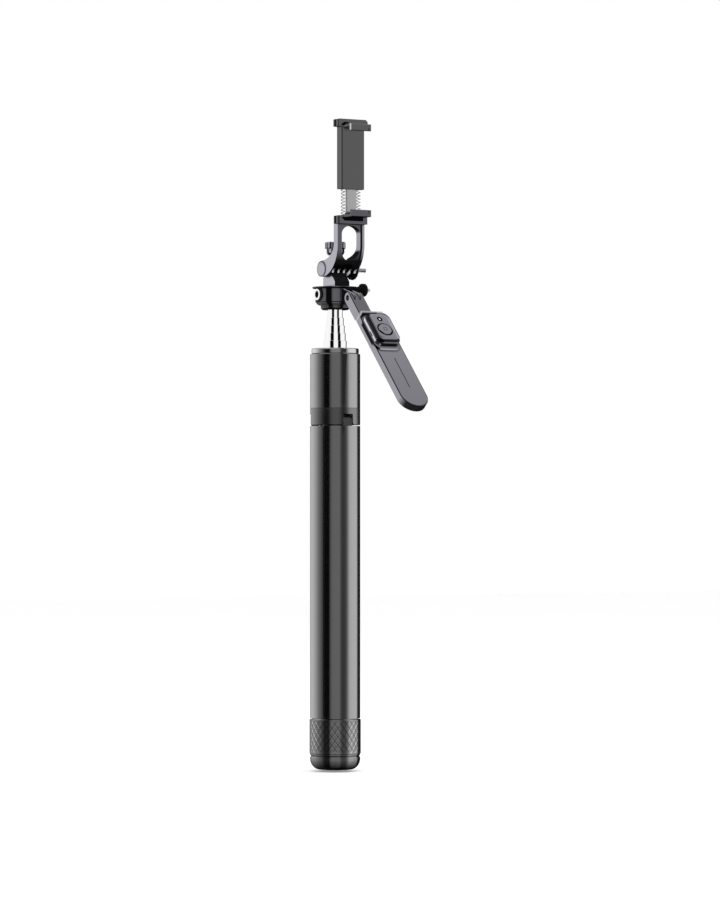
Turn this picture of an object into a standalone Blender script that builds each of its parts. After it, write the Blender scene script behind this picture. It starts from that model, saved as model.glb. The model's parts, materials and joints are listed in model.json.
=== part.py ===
"""Telescopic selfie stick whose handle opens into a tripod. The head carries a phone clamp and a remote arm.

Frame: metres, +Z up along the pole, origin at the centre of the base's underside. The phone faces -Y.
Sizes below are in millimetres. "Forward" is the distance from the pole's axis towards -Y.
"""

import math

import bmesh
import bpy
from mathutils import Matrix, Vector

MM = 0.001
GAP = 0.3
FINE, COARSE = 40, 24

# handle
TUBE_R = 23.0
TUBE_WALL = 2.5
BASE_TOP = 46.3
KNURL_R = 23.8
CORE_R, CORE_BORE = 14.0, 11.4
CORE_TOP = 383.7
LEG_BOTTOM, LEG_TOP = 47.0, 315.4
LEG_PIN = (18.2, 320.3)
LEG_PIN_R, LEG_PIN_HALF = 1.2, 8.2
LUG_R, LUG_HALF = 3.6, 4.8
SLOT_HALF, SLOT_TOP = 5.2, 326.0
BAND_BOTTOM, BAND_TOP = 316.2, 331.4
BAND_BORE = 21.6
SLEEVE_TOP = 381.3
COLLAR_R, COLLAR_TOP = 21.7, 386.5
# pole
STAGES = 5
STAGE_R, STAGE_STEP, STAGE_WALL = 10.5, 0.9, 0.5
STAGE_TOP, STAGE_RISE, STAGE_LENGTH = 393.6, 7.0, 330.0
PLUG_BELOW, PLUG_ABOVE = 3.5, 1.0
# head
RING_R, RING_BOTTOM, RING_TOP = 13.3, 421.9, 426.5
HOUSING_R, HOUSING_TOP = 18.2, 441.5
FLANGE_R, FLANGE_TOP = 21.2, 443.0
SOCKET_Z, SOCKET_FACE = 435.7, -20.2
SOCKET_R, INSERT_R, BOSS_R = 3.2, 5.2, 6.1
BOSS_FACE = -18.2
KNOB_SEAT, KNOB_TOP = 468.3, 484.4
TILT_Z = 459.2
NECK_HALF, NECK_TOP = 7.9, 452.0
NECK_BACK, NECK_FRONT = -8.3, 12.1
TILT_BORE, TILT_SCREW_R = 2.2, 1.9
THUMB = (24.1, 439.4)
# yoke and clamp
YOKE_HALF, YOKE_TOP = 14.4, 498.9
YOKE_CENTRE = 481.0
YOKE_OUTER = (27.7, 29.0)
YOKE_INNER = (20.8, 14.0)
NECK_SWING_R = 14.0
WINDOW_HALF, WINDOW_BOTTOM = 9.9, 466.0
WEB_SLOTS, WEB_SLOT_HALF = (-11.8, -5.9, 0.0, 5.9, 11.8), 0.9
CLAMP_BACK, CLAMP_FRONT, LIP_FRONT = 21.8, 31.7, 45.4
CLAMP_HALF, LIP_HALF = 15.5, 10.5
CLAMP_BOTTOM, CLAMP_TOP = 499.2, 506.6
PHONE_LOW, PHONE_HIGH = 509.0, 585.7
LIP_UNDER, LIP_OVER = 2.3, 4.0
JAW_BOTTOM, JAW_TOP = 587.9, 594.8
CHANNEL_BOTTOM, CAVITY_TOP, RAIL_TOP = 531.0, 586.5, 563.5
# remote arm, measured along the arm from its hinge and out from its middle plane
ARM_HINGE = (33.0, 431.3)
ARM_ANGLE = 43.2
KNUCKLE_R, KNUCKLE_HALF = 5.0, 7.15
PADDLE = (-7.8, 21.0)
ARM_LENGTH, ARM_HALF = 141.5, 3.7
ROOT_END, ROOT_FRONT = 25.8, 4.2
SHOULDER = (25.4, 28.8, 9.0)
FACE_INSET, FACE_DEPTH = 0.8, 1.6
REMOTE_MIDDLE, REMOTE_HALF = 4.4, 12.5
REMOTE_S = (31.6, 68.6)
REMOTE_BACK, REMOTE_SPLIT, REMOTE_FRONT = 4.9, 9.6, 12.6
CRADLE_WALL, CRADLE_FLOOR, CRADLE_FRONT = 0.9, 4.6, 6.4
CRADLE_S = (29.3, 71.9)
BUTTON_S, BUTTON_R = 53.3, 7.2
LED_S, LED_R, LED_HOLE = 40.0, 1.0, 2.3

BLACK = (0.02, 0.02, 0.022, 1)
SATIN = (0.035, 0.035, 0.038, 1)
STEEL = (0.8, 0.8, 0.82, 1)
RUBBER = (0.015, 0.015, 0.015, 1)


# ---------------------------------------------------------------- builders

def clear_scene():
    for obj in list(bpy.data.objects):
        bpy.data.objects.remove(obj, do_unlink=True)


def material(name, colour, roughness, metallic):
    mat = bpy.data.materials.new(name)
    mat.use_nodes = True
    shader = mat.node_tree.nodes["Principled BSDF"]
    shader.inputs["Base Color"].default_value = colour
    shader.inputs["Roughness"].default_value = roughness
    shader.inputs["Metallic"].default_value = metallic
    return mat


def finish(name, bm, origin=(0, 0, 0), parent=None):
    """Turn a mesh drawn in millimetres into an object in metres whose origin is at origin."""
    bmesh.ops.recalc_face_normals(bm, faces=bm.faces)
    bmesh.ops.translate(bm, verts=bm.verts, vec=-Vector(origin))
    bmesh.ops.scale(bm, verts=bm.verts, vec=(MM, MM, MM))
    mesh = bpy.data.meshes.new(name)
    bm.to_mesh(mesh)
    bm.free()
    mesh.shade_smooth()
    mesh.set_sharp_from_angle(angle=math.radians(35))
    obj = bpy.data.objects.new(name, mesh)
    obj.location = Vector(origin) * MM
    obj.parent = parent
    bpy.context.scene.collection.objects.link(obj)
    return obj


def dress(obj, colour, roughness=0.3, metallic=0.0):
    obj.data.materials.append(material(obj.name, colour, roughness, metallic))
    return obj


def combine(obj, bm, operation, parent=None):
    """Cut a shape from an object, or add it, with a hidden helper object."""
    helper = finish(f"{obj.name}_helper", bm, parent=parent)
    helper.hide_render = True
    helper.display_type = "WIRE"
    boolean = obj.modifiers.new(operation.lower(), "BOOLEAN")
    boolean.operation = operation
    boolean.solver = "EXACT"
    boolean.object = helper
    return obj


def cut(obj, bm, parent=None):
    return combine(obj, bm, "DIFFERENCE", parent)


def add(obj, bm, parent=None):
    return combine(obj, bm, "UNION", parent)


def lathe(profile, segments=FINE):
    """Turn a closed outline of (radius, height) points about Z."""
    bm = bmesh.new()
    steps = [2 * math.pi * k / segments for k in range(segments)]
    rings = []
    for r, z in profile:
        if r < 1e-9:
            rings.append([bm.verts.new((0, 0, z))])
        else:
            rings.append([bm.verts.new((r * math.cos(a), r * math.sin(a), z)) for a in steps])
    for low, high in zip(rings, rings[1:] + rings[:1]):
        if len(low) == 1 and len(high) == 1:
            continue
        for k in range(segments):
            n = (k + 1) % segments
            corners = [low[k % len(low)], low[n % len(low)], high[n % len(high)], high[k % len(high)]]
            bm.faces.new(list(dict.fromkeys(corners)))
    return bm


def prism(outline, low, high, along="X"):
    """Extrude an outline: (forward, height) along X, (x, height) along Y, or (x, forward) along Z."""
    place = {
        "X": lambda u, v, w: (w, -u, v),
        "Y": lambda u, v, w: (u, -w, v),
        "Z": lambda u, v, w: (u, -v, w),
    }[along]
    bm = bmesh.new()
    ends = [[bm.verts.new(place(u, v, w)) for u, v in outline] for w in (low, high)]
    bm.faces.new(ends[0])
    bm.faces.new(ends[1][::-1])
    for k in range(len(outline)):
        n = (k + 1) % len(outline)
        bm.faces.new([ends[0][k], ends[0][n], ends[1][n], ends[1][k]])
    return bm


def arc(centre, radius, start, end, steps):
    """Points on a circle, or an ellipse if radius holds two values, from start to end in degrees."""
    ru, rv = radius if isinstance(radius, tuple) else (radius, radius)
    angles = [math.radians(start + (end - start) * k / steps) for k in range(steps + 1)]
    return [(centre[0] + ru * math.cos(a), centre[1] + rv * math.sin(a)) for a in angles]


def circle(centre, radius, steps=COARSE):
    return arc(centre, radius, 0, 360, steps)[:-1]


def rectangle(u0, u1, v0, v1):
    return [(u0, v0), (u1, v0), (u1, v1), (u0, v1)]


def rounded(u0, u1, v0, v1, radius, steps=4):
    corners = [(u1 - radius, v1 - radius), (u0 + radius, v1 - radius)]
    corners += [(u0 + radius, v0 + radius), (u1 - radius, v0 + radius)]
    points = []
    for k, corner in enumerate(corners):
        points += arc(corner, radius, 90 * k, 90 * k + 90, steps)
    return points


def merge(*shapes):
    """Put closed shapes that don't touch into one mesh."""
    bm = shapes[0]
    for other in shapes[1:]:
        mesh = bpy.data.meshes.new("merge")
        other.to_mesh(mesh)
        other.free()
        bm.from_mesh(mesh)
        bpy.data.meshes.remove(mesh)
    return bm


def turned(bm, degrees):
    matrix = Matrix.Rotation(math.radians(degrees), 3, "Z")
    bmesh.ops.rotate(bm, verts=bm.verts, cent=(0, 0, 0), matrix=matrix)
    return bm


def three_ways(make):
    return merge(*[turned(make(), leg_heading(k)) for k in range(3)])


def leg_heading(index):
    """The leg at the front points to -Y, and the others are a third of a turn away."""
    return -90 + 120 * index


# ---------------------------------------------------------------- base and core

def build_base():
    corner = arc((14.2, 10.5), (TUBE_R - 14.2, 10.2), -90, 0, 6)
    profile = [(11.3, 0.3)] + corner
    profile += [(22.1, 11.9), (22.1, 13.3), (TUBE_R, 14.0), (KNURL_R, 15.4), (KNURL_R, BASE_TOP - 0.6)]
    socket = CORE_R + GAP
    profile += [(TUBE_R - 0.1, BASE_TOP), (socket, BASE_TOP), (socket, 8.0), (0, 8.0), (0, 2.1), (11.3, 2.1)]
    dress(finish("base_cap", lathe(profile)), BLACK, 0.25)
    pad = [(0, 0), (10.4, 0), (11.0, 0.5), (11.0, 1.8), (0, 1.8)]
    dress(finish("foot_pad", lathe(pad, COARSE)), RUBBER, 0.8)


def build_core():
    tube = [(CORE_BORE, 8.3), (CORE_R, 8.3), (CORE_R, CORE_TOP), (CORE_BORE, CORE_TOP)]
    dress(finish("core_tube", lathe(tube, 32)), SATIN, 0.35, 0.6)
    bottom = SLEEVE_TOP + 0.5
    collar = [(CORE_R + GAP, bottom), (COLLAR_R, bottom), (COLLAR_R, COLLAR_TOP - 0.8)]
    collar += [(COLLAR_R - 0.8, COLLAR_TOP), (10.9, COLLAR_TOP), (10.9, 384.0), (CORE_R + 0.3, 384.0)]
    dress(finish("top_collar", lathe(collar)), BLACK, 0.15)


# ---------------------------------------------------------------- sliding crown

def slot_outline(half, top):
    wide = half + 1.6
    return [(-wide, 315.0), (wide, 315.0), (half, 317.9), (half, top), (-half, top), (-half, 317.9)]


def leg_slot(half, inner):
    """A window towards +X, through a wall from the inner radius outwards."""
    bm = prism(slot_outline(half, SLOT_TOP), inner, 30.0, "Y")
    return turned(bm, 90)


def build_crown():
    band = lathe([(BAND_BORE, BAND_BOTTOM), (TUBE_R, BAND_BOTTOM), (TUBE_R, BAND_TOP), (BAND_BORE, BAND_TOP)])
    band = dress(finish("crown_band", band), SATIN, 0.4)
    cut(band, three_ways(lambda: leg_slot(SLOT_HALF, 10.0)))
    inner, shoulder = CORE_R + 0.2, BAND_TOP - 0.4
    hub = [(inner, BAND_BOTTOM + 0.3), (21.3, BAND_BOTTOM + 0.3), (21.3, shoulder), (20.4, shoulder)]
    hub = dress(finish("leg_hub", lathe(hub + [(20.4, 338.0), (inner, 338.0)])), RUBBER, 0.5)
    cut(hub, three_ways(lambda: leg_slot(SLOT_HALF, 10.0)))
    cut(hub, three_ways(lambda: turned(prism(circle(LEG_PIN, LEG_PIN_R + 0.15, 12), -8.6, 8.6, "X"), 90)))
    sleeve = [(20.7, BAND_TOP + 0.2), (TUBE_R, BAND_TOP + 0.2), (TUBE_R, SLEEVE_TOP), (20.7, SLEEVE_TOP)]
    dress(finish("crown_sleeve", lathe(sleeve)), BLACK, 0.2, 0.3)
    guide = [(inner, 372.0), (20.4, 372.0), (20.4, 380.0), (inner, 380.0)]
    dress(finish("sleeve_guide", lathe(guide, 32)), RUBBER, 0.5)


def build_leg_pins():
    for index in range(3):
        pin = prism(circle(LEG_PIN, LEG_PIN_R, 12), -LEG_PIN_HALF, LEG_PIN_HALF, "X")
        dress(finish(f"leg_pin_{index + 1}", turned(pin, leg_heading(index) + 90)), STEEL, 0.25, 1.0)


# ---------------------------------------------------------------- legs

def leg_shell():
    """A third of the tube, bevelled inside at both ends so that it swings past the base and the crown."""
    half, steps, inner = math.radians(59.5), 14, TUBE_R - TUBE_WALL
    profile = [(inner, LEG_BOTTOM + 2.9), (TUBE_R, LEG_BOTTOM), (TUBE_R, LEG_TOP), (inner, LEG_TOP - 2.2)]
    bm = bmesh.new()
    angles = [-math.pi / 2 - half + 2 * half * k / steps for k in range(steps + 1)]
    slices = [[bm.verts.new((r * math.cos(a), r * math.sin(a), z)) for r, z in profile] for a in angles]
    bm.faces.new(slices[0])
    bm.faces.new(slices[-1][::-1])
    for near, far in zip(slices, slices[1:]):
        for k in range(4):
            n = (k + 1) % 4
            bm.faces.new([near[k], near[n], far[n], far[k]])
    return bm


def leg_lug():
    r, z = LEG_PIN
    outline = arc(LEG_PIN, LUG_R, 180, 0, 10)
    outline += [(r + LUG_R, 314.0), (r + LUG_R, 303.0), (20.2, 299.0), (r - LUG_R, 308.0)]
    return prism(outline, -LUG_HALF, LUG_HALF, "X")


def build_legs():
    origin = (0, -LEG_PIN[0], LEG_PIN[1])
    leg = finish("leg_1", leg_shell(), origin)
    add(leg, leg_lug())
    cut(leg, prism(circle(LEG_PIN, LEG_PIN_R + 0.15, 12), -6, 6, "X"))
    foot = prism([(16.5, 52.5), (19.2, 52.5), (19.2, 64.0), (18.0, 64.0), (16.5, 60.0)], -6, 6, "X")
    foot = finish("leg_foot_1", foot, origin)
    shape = settled_mesh(leg)
    for index in range(3):
        turn = math.radians(leg_heading(index) + 90)
        heading = Vector((math.sin(turn), -math.cos(turn), 0)) * LEG_PIN[0] * MM
        copies = [bpy.data.objects.new(f"leg_{index + 1}", shape)] if index else [leg]
        copies += [bpy.data.objects.new(f"leg_foot_{index + 1}", foot.data.copy())] if index else [foot]
        for obj in copies:
            obj.location = heading + Vector((0, 0, LEG_PIN[1] * MM))
            obj.rotation_euler.z = turn
            if index:
                bpy.context.scene.collection.objects.link(obj)
        copies[0].data = shape.copy()
        dress(copies[0], BLACK, 0.2, 0.3)
        dress(copies[1], RUBBER, 0.8)


def settled_mesh(obj):
    """The object's mesh with its modifiers made permanent."""
    graph = bpy.context.evaluated_depsgraph_get()
    mesh = bpy.data.meshes.new_from_object(obj.evaluated_get(graph))
    obj.modifiers.clear()
    return mesh


# ---------------------------------------------------------------- pole

def build_pole():
    bore = CORE_BORE
    for index in range(STAGES):
        radius = STAGE_R - STAGE_STEP * index
        top = STAGE_TOP + STAGE_RISE * index
        bottom = top - STAGE_LENGTH
        if index == STAGES - 1:
            top = 434.0
        inner = radius - STAGE_WALL
        tube = [(inner, bottom), (radius, bottom), (radius, top - 0.3), (radius - 0.25, top), (inner, top)]
        dress(finish(f"pole_stage_{index + 1}", lathe(tube, 32)), STEEL, 0.08, 1.0)
        low, lip, high = bottom - PLUG_BELOW, bottom - GAP, bottom + PLUG_ABOVE
        rim, core = bore - 0.15, inner - 0.2
        plug = [(0, low), (rim, low), (rim, lip), (core, lip), (core, high), (0, high)]
        dress(finish(f"stage_plug_{index + 1}", lathe(plug, COARSE)), RUBBER, 0.5)
        bore = inner


# ---------------------------------------------------------------- head base

def hub_finger(x0, x1):
    """A plate that runs from the housing to the arm's hinge, its top edge sloping down to the hinge."""
    outline = arc(ARM_HINGE, KNUCKLE_R, -90, 65, 8)
    outline += [(17.0, 441.2), (15.0, 441.2), (15.0, 427.3)]
    return prism(outline, x0, x1, "X")


def build_head():
    top_r = STAGE_R - STAGE_STEP * (STAGES - 1)
    bore = top_r + GAP
    ring = [(bore, RING_BOTTOM), (RING_R - 1.2, RING_BOTTOM), (RING_R, RING_BOTTOM + 1.2)]
    dress(finish("head_ring", lathe(ring + [(RING_R, RING_TOP), (bore, RING_TOP)], 40)), BLACK, 0.2)
    under = RING_TOP + 0.3
    body = [(bore, under), (HOUSING_R, under), (HOUSING_R, HOUSING_TOP), (FLANGE_R, HOUSING_TOP)]
    body += [(FLANGE_R, FLANGE_TOP), (5.4, FLANGE_TOP), (5.4, 435.4), (0, 435.4), (0, 434.4), (bore, 434.4)]
    housing = dress(finish("pan_housing", lathe(body)), BLACK, 0.25)
    boss = prism(circle((0, SOCKET_Z), BOSS_R, COARSE), BOSS_FACE, -12.5, "X")
    add(housing, boss)
    cut(housing, prism(circle((0, SOCKET_Z), INSERT_R + GAP, COARSE), SOCKET_FACE - 3, -13.0, "X"))
    for x0 in (-4.1, 1.6):
        add(housing, hub_finger(x0, x0 + 2.5))
    cut(housing, prism(circle(ARM_HINGE, 2.7, 16), -8, 8, "X"))
    cut(housing, prism(circle(THUMB, 1.9, 12), -2.5, 8, "X"))
    insert = prism(circle((0, SOCKET_Z), INSERT_R, COARSE), SOCKET_FACE, -13.3, "X")
    insert = dress(finish("thread_insert", insert), STEEL, 0.2, 1.0)
    cut(insert, prism(circle((0, SOCKET_Z), SOCKET_R, COARSE), SOCKET_FACE - 3, -14.3, "X"))
    pin = prism(circle(ARM_HINGE, 2.4, 16), -KNUCKLE_HALF + 0.6, KNUCKLE_HALF - 0.6, "X")
    dress(finish("arm_pin", pin), STEEL, 0.25, 1.0)


def build_thumb_knob():
    origin = (0, -THUMB[0], THUMB[1])
    knob = prism(circle(THUMB, 6.0, 24), 12.5, 17.4, "X")
    knob = dress(finish("thumb_knob", knob, origin), BLACK, 0.3)
    add(knob, prism(circle(THUMB, 3.0, 16), 4.5, 13.5, "X"))
    add(knob, prism(circle(THUMB, 1.6, 12), -2.0, 22.0, "X"))


# ---------------------------------------------------------------- neck, yoke and knobs

def build_neck():
    """A block whose top front edge is cut back, so that the yoke can swing past it."""
    origin = (0, 0, FLANGE_TOP)
    foot = FLANGE_TOP + 0.4
    side = [(NECK_BACK, foot), (NECK_FRONT, foot), (NECK_FRONT, NECK_TOP - 4.4), (NECK_FRONT - 4.0, NECK_TOP)]
    neck = finish("neck", prism(side + [(NECK_BACK, NECK_TOP)], -NECK_HALF, NECK_HALF, "X"), origin)
    dress(neck, BLACK, 0.25)
    lug = arc((0, TILT_Z), 7.0, 0, 180, 12) + [(-7.0, NECK_TOP - 5), (7.0, NECK_TOP - 5)]
    add(neck, prism(lug, 0.1 - NECK_HALF, NECK_HALF - 0.1, "X"))
    start, end = TILT_Z + 4, KNOB_SEAT - 0.4
    add(neck, lathe([(0, start), (5.0, start), (5.0, end), (0, end)], COARSE))
    add(neck, lathe([(0, 436.0), (5.0, 436.0), (5.0, NECK_TOP - 5), (0, NECK_TOP - 5)], COARSE))
    cut(neck, prism(circle((0, TILT_Z), TILT_BORE, 16), -10, 10, "X"))
    cut(neck, lathe([(0, TILT_Z + 3), (2.2, TILT_Z + 3), (2.2, KNOB_SEAT + 1), (0, KNOB_SEAT + 1)], 16))


def yoke_outline():
    outline = arc((0, YOKE_CENTRE), YOKE_OUTER, -90, 0, 14)
    outline += [(YOKE_OUTER[0], YOKE_TOP), (YOKE_INNER[0], YOKE_TOP)]
    outline += arc((0, YOKE_CENTRE), YOKE_INNER, 0, -88, 10)
    return outline + arc((0, TILT_Z + 0.3), 7.5, 100, 260, 10)


def build_yoke():
    origin = (0, 0, TILT_Z)
    yoke = dress(finish("yoke", prism(yoke_outline(), -YOKE_HALF, YOKE_HALF, "X"), origin), BLACK, 0.25)
    window = arc((0, WINDOW_BOTTOM + 11), (WINDOW_HALF, 11.0), 180, 360, 12)
    window += arc((0, WINDOW_BOTTOM + 24), (WINDOW_HALF, 7.8), 0, 180, 12)
    cut(yoke, prism(window, -20, 40, "Y"))
    half = NECK_HALF + GAP
    swing = arc((0, TILT_Z), NECK_SWING_R, -100, 90, 16) + [(-12, YOKE_CENTRE), (-12, NECK_TOP - 11)]
    cut(yoke, prism(swing, -half, half, "X"))
    for x in WEB_SLOTS:
        slot = rounded(x - WEB_SLOT_HALF, x + WEB_SLOT_HALF, TILT_Z - 4.2, TILT_Z, 0.8, 2)
        cut(yoke, prism(slot, 9, 30, "Y"))
    cut(yoke, prism(circle((0, TILT_Z), TILT_BORE, 16), -20, 20, "X"))
    cap = prism(circle((0, TILT_Z), 7.2, 32), -YOKE_HALF - 1.1, -YOKE_HALF - 0.3, "X")
    dress(finish("tilt_cap", cap, origin), SATIN, 0.3)


def build_tilt_knob():
    origin = (0, 0, TILT_Z)
    disc = prism(circle((0, TILT_Z), 9.2, 32), 16.2, 20.6, "X")
    knob = dress(finish("tilt_knob", disc, origin), BLACK, 0.3)
    add(knob, prism(circle((0, TILT_Z), 4.6, COARSE), YOKE_HALF + 0.4, 17.0, "X"))
    cut(knob, prism(circle((0, TILT_Z), TILT_BORE, 16), 10, 30, "X"))
    screw = prism(circle((0, TILT_Z), TILT_SCREW_R, 16), -13.9, 32.7, "X")
    dress(finish("tilt_screw", screw, origin), STEEL, 0.2, 1.0)


def build_top_knob():
    """A stem in the neck, a tapered skirt and a grip rim."""
    rim = KNOB_TOP - 6.2
    start = KNOB_SEAT - 5.2
    profile = [(0, start), (1.9, start), (1.9, KNOB_SEAT), (5.0, KNOB_SEAT), (5.0, rim - 6.0)]
    profile += [(6.9, rim - 6.0), (8.5, rim - 3.4), (8.6, rim - 0.2), (9.6, rim), (9.6, KNOB_TOP - 0.7)]
    profile += [(8.9, KNOB_TOP), (0, KNOB_TOP)]
    dress(finish("top_knob", lathe(profile, 32), (0, 0, KNOB_SEAT)), BLACK, 0.3)


# ---------------------------------------------------------------- phone clamp

def lip_outline(level, direction):
    """An L in side view: a shelf under or over the phone and the lip in front of it."""
    outer, lip = level - LIP_UNDER * direction, level + LIP_OVER * direction
    back, inner = CLAMP_BACK + 5, LIP_FRONT - 2.4
    return [(back, level), (back, outer), (LIP_FRONT, outer), (LIP_FRONT, lip), (inner, lip), (inner, level)]


def phone_pad(name, low, high):
    """The rubber strip between a shelf and the phone."""
    half = LIP_HALF - 1
    pad = prism(rectangle(-half, half, CLAMP_FRONT + 0.5, LIP_FRONT - 2.8), low, high, "Z")
    dress(finish(name, pad), RUBBER, 0.8)


def build_clamp_base():
    block = rounded(-CLAMP_HALF, CLAMP_HALF, CLAMP_BACK, CLAMP_FRONT, 1.0, 2)
    base = dress(finish("clamp_base", prism(block, CLAMP_BOTTOM, CLAMP_TOP, "Z")), BLACK, 0.25)
    shelf = PHONE_LOW - 1.7
    add(base, prism(lip_outline(shelf, 1), -LIP_HALF, LIP_HALF, "X"))
    recess = rounded(-9.5, 9.5, CLAMP_BOTTOM + 1.8, CLAMP_BOTTOM + 4.6, 1.3, 3)
    cut(base, prism(recess, CLAMP_FRONT - 1.5, CLAMP_FRONT + 3, "Y"))
    rail = prism(rectangle(-5.5, 5.5, 25.2, 28.6), shelf + 0.4, RAIL_TOP, "Z")
    dress(finish("clamp_rail", rail), STEEL, 0.3, 1.0)
    phone_pad("lower_pad", shelf + GAP, PHONE_LOW)


def build_jaw():
    block = rounded(-CLAMP_HALF, CLAMP_HALF, CLAMP_BACK, CLAMP_FRONT, 1.0, 2)
    jaw = dress(finish("upper_jaw", prism(block, JAW_BOTTOM, JAW_TOP, "Z")), BLACK, 0.25)
    channel = rounded(-12.5, 12.5, CLAMP_BACK + 0.5, CLAMP_FRONT - 0.4, 1.5, 2)
    add(jaw, prism(channel, CHANNEL_BOTTOM, JAW_BOTTOM + 1.5, "Z"))
    shelf = PHONE_HIGH + 1.5
    add(jaw, prism(lip_outline(shelf, -1), -LIP_HALF, LIP_HALF, "X"))
    cut(jaw, prism(rectangle(-10.9, 10.9, 23.6, 30.2), CHANNEL_BOTTOM - 9, CAVITY_TOP, "Z"))
    phone_pad("upper_pad", PHONE_HIGH, shelf - GAP)


def coil(x, forward, low, high, radius, wire, turns, per_turn=7, sides=3):
    """A helical spring about a vertical line."""
    bm = bmesh.new()
    count = turns * per_turn
    rings = []
    for k in range(count + 1):
        a = 2 * math.pi * k / per_turn
        out = Vector((math.cos(a), math.sin(a), 0))
        centre = Vector((x, -forward, low + (high - low) * k / count)) + out * radius
        spokes = [2 * math.pi * (s + 0.5) / sides for s in range(sides)]
        section = [out * math.cos(t) + Vector((0, 0, math.sin(t))) for t in spokes]
        rings.append([bm.verts.new(centre + wire * spoke) for spoke in section])
    for ring, after in zip(rings, rings[1:]):
        for s in range(sides):
            n = (s + 1) % sides
            bm.faces.new([ring[s], ring[n], after[n], after[s]])
    bm.faces.new(rings[0][::-1])
    bm.faces.new(rings[-1])
    return bm


def build_springs():
    for index, x in enumerate((-8.2, 8.2)):
        spring = coil(x, 26.9, CLAMP_TOP + 1.2, CAVITY_TOP - 1.2, 1.8, 0.4, 13)
        dress(finish(f"clamp_spring_{index + 1}", spring), STEEL, 0.3, 1.0)


# ---------------------------------------------------------------- remote arm

def along_arm(outline, low, high):
    """A shape drawn as (x, distance from the hinge), raised from low to high off the middle plane."""
    return prism([(x, -s) for x, s in outline], low, high, "Y")


def arm_profile(outline, x0, x1):
    """A shape drawn as (height off the middle plane, distance from the hinge)."""
    return prism([(n, -s) for n, s in outline], x0, x1, "X")


def paddle_outline(inset, start):
    """The arm's flat front, straight from start and round at its far end."""
    x0, x1 = PADDLE
    middle, end = (x0 + x1) / 2, (x1 - x0) / 2
    tip = arc((middle, ARM_LENGTH - end), end - inset, 0, 180, 14)
    return [(x1 - inset, start)] + tip + [(x0 + inset, start)]


def build_arm(mount):
    """A thick root on the hinge, a shoulder across it, and a flat paddle with a face plate let into it."""
    x0, x1 = PADDLE
    root = KNUCKLE_HALF
    paddle = paddle_outline(0, 32.0) + [(x0, ROOT_END), (root - 1.0, ROOT_END), (x1 - 7, ROOT_END)]
    arm = finish("arm_frame", along_arm(paddle, -ARM_HALF, ARM_HALF), parent=mount)
    dress(arm, SATIN, 0.3, 0.2)
    knuckle = arc((0, 0), KNUCKLE_R, -180, 0, 12)
    knuckle = [(n, s) for n, s in knuckle if n < ROOT_FRONT]
    side = knuckle + [(ROOT_FRONT, -1.0), (ROOT_FRONT, ROOT_END + 1.4), (0.6 - ARM_HALF, ROOT_END + 1.4)]
    add(arm, arm_profile(side + [(-KNUCKLE_R, ROOT_END - 2)], -root, root), mount)
    start, end, front = SHOULDER
    shoulder = [(ARM_HALF - 1, start), (front, start), (front, end), (ARM_HALF - 1, end)]
    add(arm, arm_profile(shoulder, x0 + 0.2, x1 - 6), mount)
    for slot in (-4.4, 1.3):
        cut(arm, arm_profile(rectangle(-9, 9, -8, 6.3), slot, slot + 3.1), mount)
    cut(arm, arm_profile(circle((0, 0), 2.7, 16), -9, 9), mount)
    start = CRADLE_S[0] + 1.0
    cut(arm, along_arm(paddle_outline(FACE_INSET, start), ARM_HALF - FACE_DEPTH, ARM_HALF + 3), mount)
    plate = along_arm(paddle_outline(FACE_INSET + GAP, start + GAP), ARM_HALF - FACE_DEPTH + GAP, ARM_HALF)
    dress(finish("arm_face", plate, parent=mount), BLACK, 0.25)


def build_cradle(mount):
    """A tray for the remote, with a skirt that hangs over the paddle's left edge."""
    half = REMOTE_HALF + GAP + CRADLE_WALL
    x0, x1 = REMOTE_MIDDLE - half, REMOTE_MIDDLE + half
    tray = along_arm(rounded(x0, x1, *CRADLE_S, 7.5), ARM_HALF + GAP, CRADLE_FRONT)
    cradle = finish("remote_cradle", tray, parent=mount)
    dress(cradle, BLACK, 0.3)
    skirt = rectangle(x0, PADDLE[0] - GAP, CRADLE_S[0] + 8, CRADLE_S[1] - 8)
    add(cradle, along_arm(skirt, ARM_HALF - 1.5, CRADLE_FRONT), mount)
    pocket = rounded(x0 + CRADLE_WALL, x1 - CRADLE_WALL, REMOTE_S[0] - GAP, REMOTE_S[1] + GAP, 6.7)
    cut(cradle, along_arm(pocket, CRADLE_FLOOR, CRADLE_FRONT + 3), mount)


def remote_outline(inset):
    low, high = REMOTE_S
    half = REMOTE_HALF - inset
    return rounded(REMOTE_MIDDLE - half, REMOTE_MIDDLE + half, low + inset, high - inset, 6.4 - inset)


def remote_piece(mount, name, outline, low, high):
    return finish(name, along_arm(outline, low, high), parent=mount)


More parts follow.
